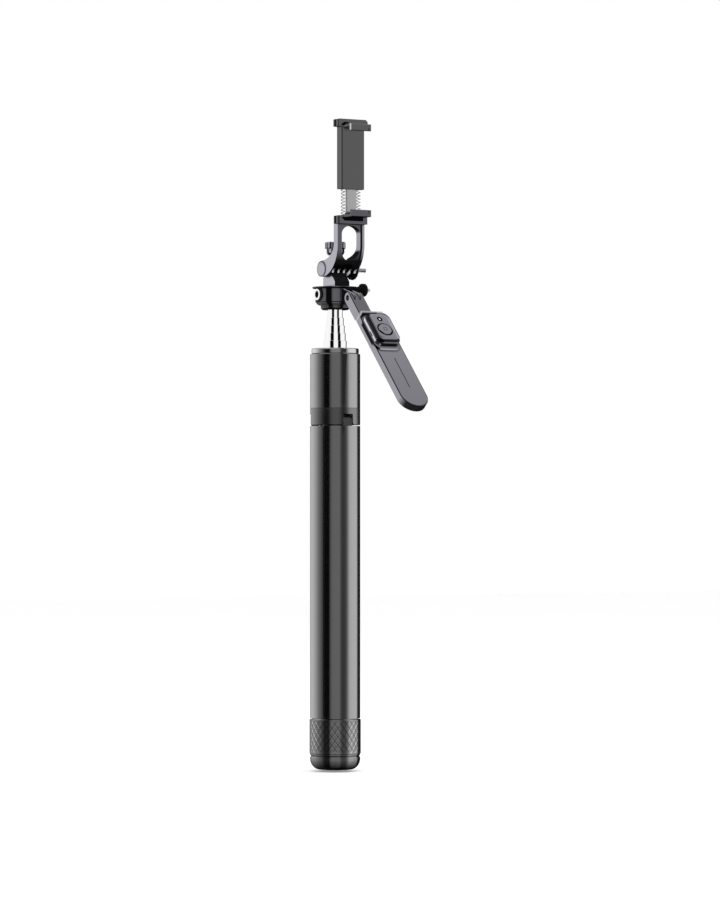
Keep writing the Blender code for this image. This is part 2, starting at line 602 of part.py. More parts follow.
def build_remote(mount):
    """Two half shells round a coin cell, a board and the button's stem."""
    spot = (REMOTE_MIDDLE, BUTTON_S)
    back = remote_piece(mount, "remote_back", remote_outline(0), REMOTE_BACK, REMOTE_SPLIT)
    dress(back, BLACK, 0.3)
    cut(back, along_arm(remote_outline(1.4), REMOTE_BACK + 1.2, REMOTE_SPLIT + 4), mount)
    front = remote_piece(mount, "remote_front", remote_outline(0), REMOTE_SPLIT + GAP, REMOTE_FRONT)
    dress(front, BLACK, 0.2)
    cut(front, along_arm(remote_outline(1.4), REMOTE_SPLIT - 2, REMOTE_FRONT - 1.3), mount)
    cut(front, along_arm(circle(spot, BUTTON_R + 0.5, COARSE), REMOTE_SPLIT - 2, REMOTE_FRONT + 2), mount)
    window = (REMOTE_MIDDLE, LED_S)
    cut(front, along_arm(circle(window, LED_HOLE, 16), REMOTE_SPLIT - 2, REMOTE_FRONT + 2), mount)
    cell = remote_piece(mount, "remote_cell", circle(spot, 8.0, COARSE), 6.4, 7.8)
    dress(cell, STEEL, 0.3, 1.0)
    board = remote_piece(mount, "remote_board", remote_outline(1.8), 8.1, 9.0)
    dress(board, (0.02, 0.12, 0.05, 1))
    led = remote_piece(mount, "led_window", circle(window, LED_R, 12), 9.3, REMOTE_FRONT - 0.1)
    dress(led, (0.7, 0.7, 0.72, 1), 0.1)
    button = remote_piece(mount, "remote_button", circle(spot, BUTTON_R, COARSE), 10.0, REMOTE_FRONT + 0.7)
    dress(button, SATIN, 0.3)


def arm_mount():
    mount = bpy.data.objects.new("arm_hinge_axis", None)
    mount.location = Vector((0, -ARM_HINGE[0], ARM_HINGE[1])) * MM
    mount.rotation_euler.x = -math.radians(ARM_ANGLE)
    bpy.context.scene.collection.objects.link(mount)
    return mount


def main():
    clear_scene()
    build_base()
    build_core()
    build_crown()
    build_leg_pins()
    build_legs()
    build_pole()
    build_head()
    build_thumb_knob()
    build_neck()
    build_yoke()
    build_tilt_knob()
    build_top_knob()
    build_clamp_base()
    build_jaw()
    build_springs()
    mount = arm_mount()
    build_arm(mount)
    build_cradle(mount)
    build_remote(mount)


main()
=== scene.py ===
"""Looks of the telescopic selfie stick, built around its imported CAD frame.

Shapes are drawn in millimetres and written in metres. "Forward" is the distance from the pole's axis towards -Y,
and "along the arm" is the distance from the remote arm's hinge.
"""

import json
import math

import bmesh
import bpy
from mathutils import Matrix, Vector


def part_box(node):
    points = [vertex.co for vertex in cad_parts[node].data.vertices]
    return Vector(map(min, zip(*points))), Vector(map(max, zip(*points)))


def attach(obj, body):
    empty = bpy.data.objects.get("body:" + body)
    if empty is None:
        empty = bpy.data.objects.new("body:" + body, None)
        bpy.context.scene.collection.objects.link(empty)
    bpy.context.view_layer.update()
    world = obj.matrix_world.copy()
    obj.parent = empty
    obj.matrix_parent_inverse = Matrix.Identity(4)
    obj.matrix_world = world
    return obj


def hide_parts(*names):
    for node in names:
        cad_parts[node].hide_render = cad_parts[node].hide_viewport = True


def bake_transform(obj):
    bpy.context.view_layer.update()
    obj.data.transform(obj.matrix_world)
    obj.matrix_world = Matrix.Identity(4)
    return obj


MM = 0.001
ROUND = 128
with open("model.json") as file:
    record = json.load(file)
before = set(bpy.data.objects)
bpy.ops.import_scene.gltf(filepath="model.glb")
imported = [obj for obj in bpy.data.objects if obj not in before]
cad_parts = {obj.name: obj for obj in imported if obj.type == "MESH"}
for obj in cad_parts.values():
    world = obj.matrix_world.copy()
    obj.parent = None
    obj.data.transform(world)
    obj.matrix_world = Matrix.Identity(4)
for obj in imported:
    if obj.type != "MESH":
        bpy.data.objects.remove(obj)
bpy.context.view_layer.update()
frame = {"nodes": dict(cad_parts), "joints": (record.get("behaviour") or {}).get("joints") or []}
JOINTS = {joint["name"]: joint for joint in frame["joints"]}


def low(node):
    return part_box(node)[0] / MM


def high(node):
    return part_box(node)[1] / MM


def joint_mm(name):
    return Vector(JOINTS[name]["pos_m"]) / MM


# ---------------------------------------------------------------- outlines

def arc(centre, radius, start, end, steps):
    """Points on a circle, or an ellipse if radius holds two values, from start to end in degrees."""
    ru, rv = radius if isinstance(radius, tuple) else (radius, radius)
    angles = [math.radians(start + (end - start) * k / steps) for k in range(steps + 1)]
    return [(centre[0] + ru * math.cos(a), centre[1] + rv * math.sin(a)) for a in angles]


def circle(centre, radius, steps=64):
    return arc(centre, radius, 0, 360, steps)[:-1]


def rectangle(u0, u1, v0, v1):
    return [(u0, v0), (u1, v0), (u1, v1), (u0, v1)]


def rounded(u0, u1, v0, v1, radius, steps=8):
    corners = [(u1 - radius, v1 - radius), (u0 + radius, v1 - radius)]
    corners += [(u0 + radius, v0 + radius), (u1 - radius, v0 + radius)]
    points = []
    for k, corner in enumerate(corners):
        points += arc(corner, radius, 90 * k, 90 * k + 90, steps)
    return points


def soften(outline, steps=4):
    """Round the corners of a closed outline. A point may hold a third value, its corner's radius."""
    points = []
    count = len(outline)
    for k, point in enumerate(outline):
        here = Vector(point[:2])
        radius = point[2] if len(point) > 2 else 0
        if not radius:
            points.append(tuple(here))
            continue
        before = Vector(outline[k - 1][:2]) - here
        after = Vector(outline[(k + 1) % count][:2]) - here
        half = before.angle(after) / 2
        reach = min(radius / math.tan(half), 0.49 * before.length, 0.49 * after.length)
        start, end = here + before.normalized() * reach, here + after.normalized() * reach
        for s in range(steps + 1):
            t = s / steps
            points.append(tuple(start * (1 - t) ** 2 + here * 2 * t * (1 - t) + end * t ** 2))
    return points


# ---------------------------------------------------------------- meshes

def lathe(profile, segments=ROUND, steps=4):
    """Turn a closed outline of (radius, height[, corner radius]) points about Z."""
    bm = bmesh.new()
    rings = []
    for r, z in soften(profile, steps):
        if r < 1e-6:
            rings.append([bm.verts.new((0, 0, z))])
        else:
            turns = [2 * math.pi * k / segments for k in range(segments)]
            rings.append([bm.verts.new((r * math.cos(a), r * math.sin(a), z)) for a in turns])
    for one, two in zip(rings, rings[1:] + rings[:1]):
        if len(one) == 1 and len(two) == 1:
            continue
        for k in range(segments):
            n = (k + 1) % segments
            corners = [one[k % len(one)], one[n % len(one)], two[n % len(two)], two[k % len(two)]]
            bm.faces.new(list(dict.fromkeys(corners)))
    return bm


def side_lathe(profile, centre, segments=64):
    """Turn a closed outline of (radius, x[, corner radius]) points about a line along X through (forward, height)."""
    bm = lathe(profile, segments)
    bmesh.ops.rotate(bm, verts=bm.verts, cent=(0, 0, 0), matrix=Matrix.Rotation(math.radians(90), 3, "Y"))
    bmesh.ops.translate(bm, verts=bm.verts, vec=(0, -centre[0], centre[1]))
    return bm


def prism(outline, start, end, along="X"):
    """Extrude a closed outline. Along X it holds (forward, height), along Y (x, height), along Z (x, forward)."""
    place = {
        "X": lambda u, v, w: (w, -u, v),
        "Y": lambda u, v, w: (u, -w, v),
        "Z": lambda u, v, w: (u, -v, w),
    }[along]
    bm = bmesh.new()
    ends = [[bm.verts.new(place(u, v, w)) for u, v in soften(outline)] for w in (start, end)]
    count = len(ends[0])
    bm.faces.new(ends[0])
    bm.faces.new(ends[1][::-1])
    for k in range(count):
        n = (k + 1) % count
        bm.faces.new([ends[0][k], ends[0][n], ends[1][n], ends[1][k]])
    return bm


def tube_along(points, radius, sides=8):
    """A closed wire of round section that follows a list of points."""
    bm = bmesh.new()
    rings = []
    for k, point in enumerate(points):
        ahead = points[min(k + 1, len(points) - 1)] - points[max(k - 1, 0)]
        side = ahead.cross(Vector((0, 0, 1))).normalized()
        up = side.cross(ahead).normalized()
        turns = [2 * math.pi * s / sides for s in range(sides)]
        rings.append([bm.verts.new(point + radius * (side * math.cos(a) + up * math.sin(a))) for a in turns])
    for one, two in zip(rings, rings[1:]):
        for s in range(sides):
            n = (s + 1) % sides
            bm.faces.new([one[s], one[n], two[n], two[s]])
    bm.faces.new(rings[0][::-1])
    bm.faces.new(rings[-1])
    return bm


def turned(bm, degrees, axis="Z"):
    bmesh.ops.rotate(bm, verts=bm.verts, cent=(0, 0, 0), matrix=Matrix.Rotation(math.radians(degrees), 3, axis))
    return bm


def make(name, bm, place=None):
    """A mesh drawn in millimetres becomes an object in metres."""
    bmesh.ops.recalc_face_normals(bm, faces=bm.faces)
    bmesh.ops.scale(bm, verts=bm.verts, vec=(MM, MM, MM))
    mesh = bpy.data.meshes.new(name)
    bm.to_mesh(mesh)
    bm.free()
    obj = bpy.data.objects.new(name, mesh)
    if place is not None:
        obj.data.transform(place)
    bpy.context.scene.collection.objects.link(obj)
    return obj


def combine(obj, bm, operation="DIFFERENCE", place=None):
    helper = make("helper", bm, place)
    boolean = obj.modifiers.new("boolean", "BOOLEAN")
    boolean.operation = operation
    boolean.solver = "EXACT"
    boolean.object = helper
    settle(obj)
    bpy.data.objects.remove(helper, do_unlink=True)
    return obj


def settle(obj):
    """Make the object's modifiers permanent."""
    bpy.context.view_layer.update()
    graph = bpy.context.evaluated_depsgraph_get()
    mesh = bpy.data.meshes.new_from_object(obj.evaluated_get(graph))
    obj.modifiers.clear()
    obj.data = mesh
    return obj


def bevel(obj, width=0.3, segments=3, angle=35):
    """Round every edge sharper than angle."""
    edges = obj.modifiers.new("bevel", "BEVEL")
    edges.width = width * MM
    edges.segments = segments
    edges.limit_method = "ANGLE"
    edges.angle_limit = math.radians(angle)
    edges.use_clamp_overlap = True
    edges.harden_normals = False
    obj["bevelled"] = True
    return settle(obj)


def finish(obj, body, look, slot, *nodes):
    """Shade a piece, dress it, and let it ride on a body in place of CAD nodes."""
    for polygon in obj.data.polygons:
        polygon.use_smooth = True
    obj.data.set_sharp_from_angle(angle=math.radians(32))
    if obj.get("bevelled"):
        even = obj.modifiers.new("even_normals", "WEIGHTED_NORMAL")
        even.keep_sharp = True
        settle(obj)
    obj.data.materials.clear()
    obj.data.materials.append(look)
    if body:
        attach(obj, body)
    if nodes:
        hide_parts(*nodes)
    return obj


# ---------------------------------------------------------------- materials

def node(tree, kind, **inputs):
    made = tree.nodes.new(kind)
    for key, value in inputs.items():
        made.inputs[key.replace("_", " ")].default_value = value
    return made


def principled(name):
    mat = bpy.data.materials.new(name)
    mat.use_nodes = True
    return mat, mat.node_tree, mat.node_tree.nodes["Principled BSDF"]


def coordinates(tree, stretch=(1, 1, 1)):
    """Object coordinates, stretched along each axis."""
    source = tree.nodes.new("ShaderNodeTexCoord")
    mapping = tree.nodes.new("ShaderNodeMapping")
    mapping.inputs["Scale"].default_value = stretch
    tree.links.new(source.outputs["Object"], mapping.inputs["Vector"])
    return mapping.outputs["Vector"]


def noise(tree, scale, detail=3.0, stretch=(1, 1, 1)):
    texture = node(tree, "ShaderNodeTexNoise", Scale=scale, Detail=detail)
    tree.links.new(coordinates(tree, stretch), texture.inputs["Vector"])
    return texture.outputs["Fac"]


def spread(tree, value, start, end):
    """Map a value of about 0.35 to 0.65 onto start to end."""
    ramp = node(tree, "ShaderNodeMapRange", From_Min=0.35, From_Max=0.65, To_Min=start, To_Max=end)
    tree.links.new(value, ramp.inputs["Value"])
    return ramp.outputs["Result"]


def tinted(tree, value, dark, light):
    mix = tree.nodes.new("ShaderNodeMix")
    mix.data_type = "RGBA"
    mix.inputs["A"].default_value = (*dark, 1)
    mix.inputs["B"].default_value = (*light, 1)
    tree.links.new(value, mix.inputs["Factor"])
    return mix.outputs["Result"]


def bump(tree, shader, height, strength, distance=0.0001):
    relief = node(tree, "ShaderNodeBump", Strength=strength, Distance=distance)
    tree.links.new(height, relief.inputs["Height"])
    tree.links.new(relief.outputs["Normal"], shader.inputs["Normal"])


def coated(name, tone, roughness=0.12, grain=0.03, metallic=1.0):
    """A dark mirror-like coating with a faint mottle and fine orange peel."""
    mat, tree, shader = principled(name)
    mottle = noise(tree, 90.0, 4.0)
    tree.links.new(tinted(tree, mottle, tuple(0.93 * c for c in tone), tone), shader.inputs["Base Color"])
    tree.links.new(spread(tree, noise(tree, 420.0, 2.0), roughness, roughness + 0.05), shader.inputs["Roughness"])
    shader.inputs["Metallic"].default_value = metallic
    bump(tree, shader, noise(tree, 1800.0, 2.0), grain)
    return mat


def moulded(name, tone, roughness=0.35, grain=0.15):
    """Moulded plastic with a fine spark-eroded texture."""
    mat, tree, shader = principled(name)
    mottle = noise(tree, 140.0, 3.0)
    tree.links.new(tinted(tree, mottle, tuple(0.85 * c for c in tone), tone), shader.inputs["Base Color"])
    tree.links.new(spread(tree, noise(tree, 900.0, 3.0), roughness - 0.05, roughness + 0.08), shader.inputs["Roughness"])
    bump(tree, shader, noise(tree, 5200.0, 2.0), grain)
    return mat


def rubber(name):
    mat, tree, shader = principled(name)
    tree.links.new(tinted(tree, noise(tree, 260.0, 4.0), (0.012, 0.012, 0.013), (0.028, 0.028, 0.03)),
                   shader.inputs["Base Color"])
    tree.links.new(spread(tree, noise(tree, 700.0, 2.0), 0.62, 0.8), shader.inputs["Roughness"])
    bump(tree, shader, noise(tree, 3800.0, 3.0), 0.35)
    return mat


def shadow_liner():
    """Flat black with hardly any sheen: painted shade in recesses and under the cradle, and the dark colour of seals,
    the gasket, the port, the arm's seam and its hinge pin.
    """
    mat, tree, shader = principled("flat_black_and_painted_shade")
    tree.links.new(tinted(tree, noise(tree, 800.0, 2.0), (0.001, 0.001, 0.001), (0.004, 0.004, 0.004)),
                   shader.inputs["Base Color"])
    shader.inputs["Roughness"].default_value = 0.9
    shader.inputs["Specular IOR Level"].default_value = 0.05
    return mat


def steel(name, tone=(0.78, 0.78, 0.8), stretch=(1, 1, 30), roughness=0.16):
    """Machined or brushed metal whose fine lines run across the stretched axis."""
    mat, tree, shader = principled(name)
    lines = noise(tree, 500.0, 3.0, stretch)
    tree.links.new(tinted(tree, lines, tuple(0.8 * c for c in tone), tone), shader.inputs["Base Color"])
    tree.links.new(spread(tree, lines, roughness, roughness + 0.12), shader.inputs["Roughness"])
    shader.inputs["Metallic"].default_value = 1.0
    bump(tree, shader, lines, 0.05)
    return mat


def pole_with_painted_reflection(name):
    """Polished stainless tube whose reflection is painted: it glows white with three narrow dark flags by the heading
    it mirrors, over a little real metal.
    """
    mat, tree, shader = principled(name)
    source = tree.nodes.new("ShaderNodeTexCoord")
    turn = tree.nodes.new("ShaderNodeVectorRotate")
    turn.rotation_type = "Z_AXIS"
    turn.inputs["Angle"].default_value = math.radians(32)
    tree.links.new(source.outputs["Reflection"], turn.inputs["Vector"])
    azimuth = heading(tree, turn.outputs["Vector"])
    ramp = strip_ramp(tree, azimuth, POLE_STRIPS)
    lines = noise(tree, 700.0, 3.0, (1, 1, 0.02))
    brushed = node(tree, "ShaderNodeMapRange", From_Min=0.3, From_Max=0.7, To_Min=0.93, To_Max=1.0)
    tree.links.new(lines, brushed.inputs["Value"])
    # painted reflection: the glow takes its brightness from the mirrored heading
    glow = tree.nodes.new("ShaderNodeEmission")
    tree.links.new(ramp, glow.inputs["Color"])
    tree.links.new(brushed.outputs["Result"], glow.inputs["Strength"])
    shader.inputs["Base Color"].default_value = (0.75, 0.75, 0.77, 1)
    shader.inputs["Metallic"].default_value = 1.0
    shader.inputs["Roughness"].default_value = 0.12
    mix = tree.nodes.new("ShaderNodeMixShader")
    mix.inputs["Fac"].default_value = 0.94
    tree.links.new(shader.outputs["BSDF"], mix.inputs[1])
    tree.links.new(glow.outputs["Emission"], mix.inputs[2])
    tree.links.new(mix.outputs["Shader"], tree.nodes["Material Output"].inputs["Surface"])
    return mat


# ---------------------------------------------------------------- studio and painted light

# (azimuth right of the camera in degrees, brightness) of the studio's strips of light and dark; the world shows
# TUBE_STRIPS to mirror-like surfaces, while POLE_STRIPS is a painted reflection
TUBE_STRIPS = [(-180, 0.0), (-160, 0.25), (-152, 0.85), (-125, 0.95), (-103, 0.72), (-82, 0.34), (-60, 0.09),
               (-50, 0.006), (-28, 0.004), (-21, 0.16), (-12, 0.26), (20, 0.27), (27, 0.12), (36, 0.07),
               (50, 0.10), (59, 0.28), (70, 0.8), (84, 0.93), (116, 0.95), (121, 0.6), (128, 0.04), (180, 0.0)]
POLE_STRIPS = [(-180, 0.75), (-150, 0.8), (-142, 1.0), (-54, 1.0), (-51, 0.0), (-16, 0.0), (-13, 1.0), (28, 1.0),
               (30, 0.0), (60, 0.0), (63, 1.0), (132, 1.0), (138, 0.0), (180, 0.0)]
CAMERA_AZIMUTH = -32.0
# the round head: painted reflection, the brightness of what it would mirror, by heading right of the camera
HUB_STRIPS = [(-180, 0.0), (-160, 0.12), (-110, 0.14), (-84, 0.1), (-60, 0.1), (-52, 0.003), (-22, 0.003), (-15, 0.1),
              (-2, 0.12), (26, 0.1), (31, 0.02), (36, 0.08), (44, 0.003), (66, 0.003), (72, 0.1), (108, 0.12),
              (124, 0.004), (180, 0.0)]
# painted light on round faces: darker facing down, brighter facing up
ROUND_LEAN = [(-1, 0.02), (-0.5, 0.1), (-0.1, 1.0), (0.5, 1.0), (1, 1.6)]
# the hub's painted light is dimmed forward of 21.3 mm
HUB_FORWARD = [(-0.04, 0.03), (-0.0225, 0.03), (-0.0213, 1.0), (0.025, 1.0)]
# painted reflection on the top knob's grip, by heading right of the camera
GRIP_STRIPS = [(-180, 0.7), (-134, 0.8), (-118, 0.01), (-92, 0.01), (-80, 0.4), (-56, 0.4), (-44, 0.004), (44, 0.004),
               (56, 0.25), (84, 0.5), (104, 0.01), (180, 0.0)]
# the knurl's painted light: darker facing down, brighter facing up, and each facet lighter or darker by its heading
KNURL_LEAN = [(-1, 0.03), (-0.75, 0.05), (-0.5, 0.3), (-0.2, 0.7), (-0.08, 1.0), (0.08, 1.0), (0.25, 1.6), (1, 2.0)]
FACET_STRIPS = [(-180, 0.5), (-100, 0.65), (-40, 1.2), (0, 0.95), (40, 1.2), (100, 0.65), (180, 0.5)]
# painted highlight on the socket's rim and painted shade deep inside it
SOCKET_DEPTH = [(-0.0202, 1.0), (-0.0198, 1.0), (-0.0196, 0.005), (-0.0133, 0.005)]
# flat faces: painted light and shade, the brightness by the way they face, 0 towards -Y, -90 towards -X and 90 towards
# +X
NECK_SIDES = [(-180, 0.02), (-150, 0.4), (-100, 0.53), (-80, 0.53), (-66, 0.3), (-55, 0.0), (-20, 0.0), (0, 0.004),
              (40, 0.004), (80, 0.3), (100, 0.35), (150, 0.02), (180, 0.02)]
YOKE_SIDES = [(-180, 0.02), (-150, 0.35), (-100, 0.47), (-80, 0.47), (-66, 0.3), (-55, 0.02), (-20, 0.02), (-8, 0.1),
              (8, 0.12), (30, 0.2), (60, 0.5), (100, 0.4), (150, 0.05), (180, 0.02)]
# painted shade on the yoke's faces that look down or up, and across it a painted highlight strip on the right leg's
# outer edge
YOKE_LEAN = [(-1, 0.0), (-0.5, 0.02), (-0.18, 0.95), (0.03, 1.0), (0.22, 0.02), (1, 0.02)]
YOKE_ACROSS = [(-0.0144, 1.0), (0.0099, 0.8), (0.0101, 0.03), (0.0119, 0.03), (0.0125, 3.2), (0.0139, 3.2),
               (0.0144, 1.5)]
KNOB_SIDES = [(-180, 0.01), (-150, 0.02), (-100, 0.006), (-80, 0.006), (-60, 0.002), (0, 0.003), (30, 0.02), (60, 0.3),
              (90, 0.4), (150, 0.02), (180, 0.01)]
# painted highlight on the rounded left end of the upper lip
LIP_END_SIDES = [(-180, 0.05), (-100, 0.2), (-70, 0.75), (-30, 0.6), (-10, 0.1), (90, 0.1), (180, 0.05)]
CLAMP_SIDES = [(-180, 0.03), (-150, 0.2), (-100, 0.13), (-80, 0.13), (-66, 0.25), (-50, 0.02), (-20, 0.02), (-8, 0.11),
               (8, 0.11), (45, 0.3), (90, 0.2), (150, 0.05), (180, 0.03)]
# painted light on flat faces: darker facing down, brighter facing up
FLAT_LEAN = [(-1, 0.02), (-0.6, 0.1), (-0.2, 0.9), (0.2, 1.0), (0.7, 2.0), (1, 1.6)]
# the arm's faces, as if it hung straight down: painted light and shade by the way they face
ARM_SIDES = [(-180, 0.05), (-150, 0.05), (-115, 0.08), (-97, 0.36), (-80, 0.4), (-68, 0.5), (-55, 0.0), (-12, 0.0), (-5, 0.155),
             (5, 0.155), (40, 0.5), (90, 0.3), (150, 0.1), (180, 0.05)]
# painted shade on the face plate: darker towards the bottom
PLATE_ALONG = [(0.33, 0.83), (0.4, 1.0)]
FINGER_SIDES = [(-180, 0.02), (-80, 0.02), (-40, 0.06), (-10, 0.14), (10, 0.14), (60, 0.06), (180, 0.02)]
FINGER_LEAN = [(-1, 0.05), (0.0, 0.3), (0.4, 0.8), (0.8, 2.0), (1, 2.5)]
SHOULDER_SIDES = [(-180, 0.05), (-100, 0.36), (-68, 0.5), (-50, 0.2), (-5, 0.26), (5, 0.26), (40, 0.5), (180, 0.05)]
PLATE_SIDES = [(-180, 0.05), (-100, 0.4), (-60, 0.0), (-12, 0.0), (-5, 0.27), (5, 0.27), (40, 0.5), (90, 0.3),
               (180, 0.05)]
REMOTE_SIDES = [(-180, 0.02), (-150, 0.5), (-100, 0.85), (-84, 0.8), (-72, 0.03), (-20, 0.0), (-7, 0.1), (-3, 0.27),
                (3, 0.27), (12, 0.5), (50, 0.7), (90, 0.2), (180, 0.02)]
# painted light on the arm: faces turned down darker, faces turned up brighter
ARM_LEAN = [(-1, 0.03), (-0.6, 0.05), (-0.15, 0.9), (0.12, 1.0), (0.4, 4.0), (0.75, 3.0), (0.95, 0.5), (1, 0.5)]
# painted shade: the cradle's left faces are black beneath the remote
CRADLE_SIDES = [(-180, 0.02), (-150, 0.2), (-100, 0.004), (-75, 0.004), (-20, 0.0), (-7, 0.1), (-3, 0.2), (3, 0.2),
                (12, 0.5), (50, 0.75), (90, 0.4), (180, 0.02)]
# painted highlight on the cradle's rim
RIM_SIDES = [(-180, 0.02), (-100, 0.1), (-40, 0.2), (-6, 0.7), (20, 0.7), (60, 0.3), (100, 0.15), (180, 0.02)]
# painted light on the remote: by how far its faces turn up or down
REMOTE_LEAN = [(-1, 1.1), (-0.9, 0.9), (-0.75, 0.03), (-0.3, 0.06), (-0.1, 0.9), (0.1, 1.0), (0.5, 2.0), (0.8, 1.2), (1, 1.0)]


def heading(tree, vector):
    """The compass heading of a direction, 0 towards the camera's side (-Y) and 0.5 turns to each side."""
    parts = tree.nodes.new("ShaderNodeSeparateXYZ")
    tree.links.new(vector, parts.inputs["Vector"])
    back = tree.nodes.new("ShaderNodeMath")
    back.operation = "MULTIPLY"
    back.inputs[1].default_value = -1
    tree.links.new(parts.outputs["Y"], back.inputs[0])
    angle = tree.nodes.new("ShaderNodeMath")
    angle.operation = "ARCTAN2"
    tree.links.new(parts.outputs["X"], angle.inputs[0])
    tree.links.new(back.outputs["Value"], angle.inputs[1])
    return angle.outputs["Value"]


def graded(tree, value, stops):
    """Brightness along a value, read from (value, brightness) pairs in rising order."""
    share = node(tree, "ShaderNodeMapRange", From_Min=stops[0][0], From_Max=stops[-1][0])
    tree.links.new(value, share.inputs["Value"])
    ramp = tree.nodes.new("ShaderNodeValToRGB")
    marks = ramp.color_ramp.elements
    while len(marks) < len(stops):
        marks.new(0.5)
    for mark, (place, level) in zip(marks, stops):
        mark.position = (place - stops[0][0]) / (stops[-1][0] - stops[0][0])
        mark.color = (level, level, level, 1)
    tree.links.new(share.outputs["Result"], ramp.inputs["Fac"])
    return ramp.outputs["Color"]


def strip_ramp(tree, angle, strips):
    """Brightness along a heading, read from (degrees, brightness) pairs."""
    return graded(tree, angle, [(math.radians(degrees), level) for degrees, level in strips])


def product(tree, one, two):
    mix = tree.nodes.new("ShaderNodeMix")
    mix.data_type = "RGBA"
    mix.blend_type = "MULTIPLY"
    mix.inputs["Factor"].default_value = 1.0
    tree.links.new(one, mix.inputs["A"])
    tree.links.new(two, mix.inputs["B"])
    return mix.outputs["Result"]


def rotated(tree, vector, axis, degrees):
    turn = tree.nodes.new("ShaderNodeVectorRotate")
    turn.rotation_type = f"{axis}_AXIS"
    turn.inputs["Angle"].default_value = math.radians(degrees)
    tree.links.new(vector, turn.inputs["Vector"])
    return turn.outputs["Vector"]


def parted(tree, vector, axis):
    parts = tree.nodes.new("ShaderNodeSeparateXYZ")
    tree.links.new(vector, parts.inputs["Vector"])
    return parts.outputs[axis]


def round_mirror(tree, place):
    """What a smooth upright cylinder about the object's axis would mirror at this place, whatever its fine relief."""
    outward = tree.nodes.new("ShaderNodeVectorMath")
    outward.operation = "MULTIPLY"
    outward.inputs[1].default_value = (1, 1, 0)
    tree.links.new(place, outward.inputs[0])
    unit = tree.nodes.new("ShaderNodeVectorMath")
    unit.operation = "NORMALIZE"
    tree.links.new(outward.outputs["Vector"], unit.inputs[0])
    sight = tree.nodes.new("ShaderNodeVectorMath")
    sight.operation = "SCALE"
    sight.inputs["Scale"].default_value = -1
    tree.links.new(tree.nodes.new("ShaderNodeNewGeometry").outputs["Incoming"], sight.inputs[0])
    mirror = tree.nodes.new("ShaderNodeVectorMath")
    mirror.operation = "REFLECT"
    tree.links.new(sight.outputs["Vector"], mirror.inputs[0])
    tree.links.new(unit.outputs["Vector"], mirror.inputs[1])
    return mirror.outputs["Vector"]


def black_with_painted_light(name, facing, lean=None, tilt=0.0, places=(), ends=None, reflect=False, blue=1.1, knurled=False):
    """A polished black coating whose light is painted: a glow coloured with painted reflections, highlights and shade,
    over a little real glossy metal.

    facing holds the painted brightness for each heading of the surface (or of what it would mirror, if reflect is set),
    lean the painted brightness from facing down (-1) to facing up (1), and places further painted brightness along an
    object axis.
    ends is the painted brightness of faces that look straight up or down, and narrow corners get painted shade.
    """
    mat, tree, shader = principled(name)
    source = tree.nodes.new("ShaderNodeTexCoord")
    vector = source.outputs["Reflection" if reflect else "Normal"]
    if reflect:
        vector = rotated(tree, vector, "Z", -CAMERA_AZIMUTH)
    if tilt:
        vector = rotated(tree, vector, "X", tilt)
    seen = rotated(tree, round_mirror(tree, source.outputs["Object"]), "Z", -CAMERA_AZIMUTH) if knurled else vector
    level = strip_ramp(tree, heading(tree, seen), facing)
    if knurled:
        level = product(tree, level, strip_ramp(tree, heading(tree, vector), FACET_STRIPS))
        vector = source.outputs["Normal"]
    if ends is not None:
        upright = graded(tree, parted(tree, vector, "Z"), [(-1, 1), (-0.95, 1), (-0.8, 0), (0.8, 0), (0.95, 1), (1, 1)])
        cover = tree.nodes.new("ShaderNodeMix")
        cover.data_type = "RGBA"
        cover.inputs["B"].default_value = (ends, ends, ends, 1)
        tree.links.new(upright, cover.inputs["Factor"])
        tree.links.new(level, cover.inputs["A"])
        level = cover.outputs["Result"]
    if lean:
        level = product(tree, level, graded(tree, parted(tree, vector, "Z"), lean))
    for axis, stops in places:
        level = product(tree, level, graded(tree, parted(tree, source.outputs["Object"], axis), stops))
    # painted shade: narrow corners and creases are darkened by ambient occlusion in the colour
    corner = node(tree, "ShaderNodeAmbientOcclusion", Distance=0.003)
    corner.samples = 6
    level = product(tree, level, graded(tree, corner.outputs["AO"], [(0.0, 0.0), (0.45, 0.25), (0.85, 1.0), (1.0, 1.0)]))
    hue = tinted(tree, noise(tree, 110.0, 3.0), (0.95, 0.94, 0.95 * blue), (1.01, 1.0, 1.01 * blue))
    # the painted light is emitted as a glow, mixed over a little real glossy metal
    glow = tree.nodes.new("ShaderNodeEmission")
    tree.links.new(product(tree, level, hue), glow.inputs["Color"])
    tree.links.new(tinted(tree, noise(tree, 90.0, 4.0), (0.1, 0.1, 0.1), (0.12, 0.12, 0.12)), shader.inputs["Base Color"])
    tree.links.new(spread(tree, noise(tree, 420.0, 2.0), 0.12, 0.2), shader.inputs["Roughness"])
    shader.inputs["Metallic"].default_value = 1.0
    tree.links.new(mix_shaders(tree, None, shader.outputs["BSDF"], glow.outputs["Emission"], 0.93),
                   tree.nodes["Material Output"].inputs["Surface"])
    return mat


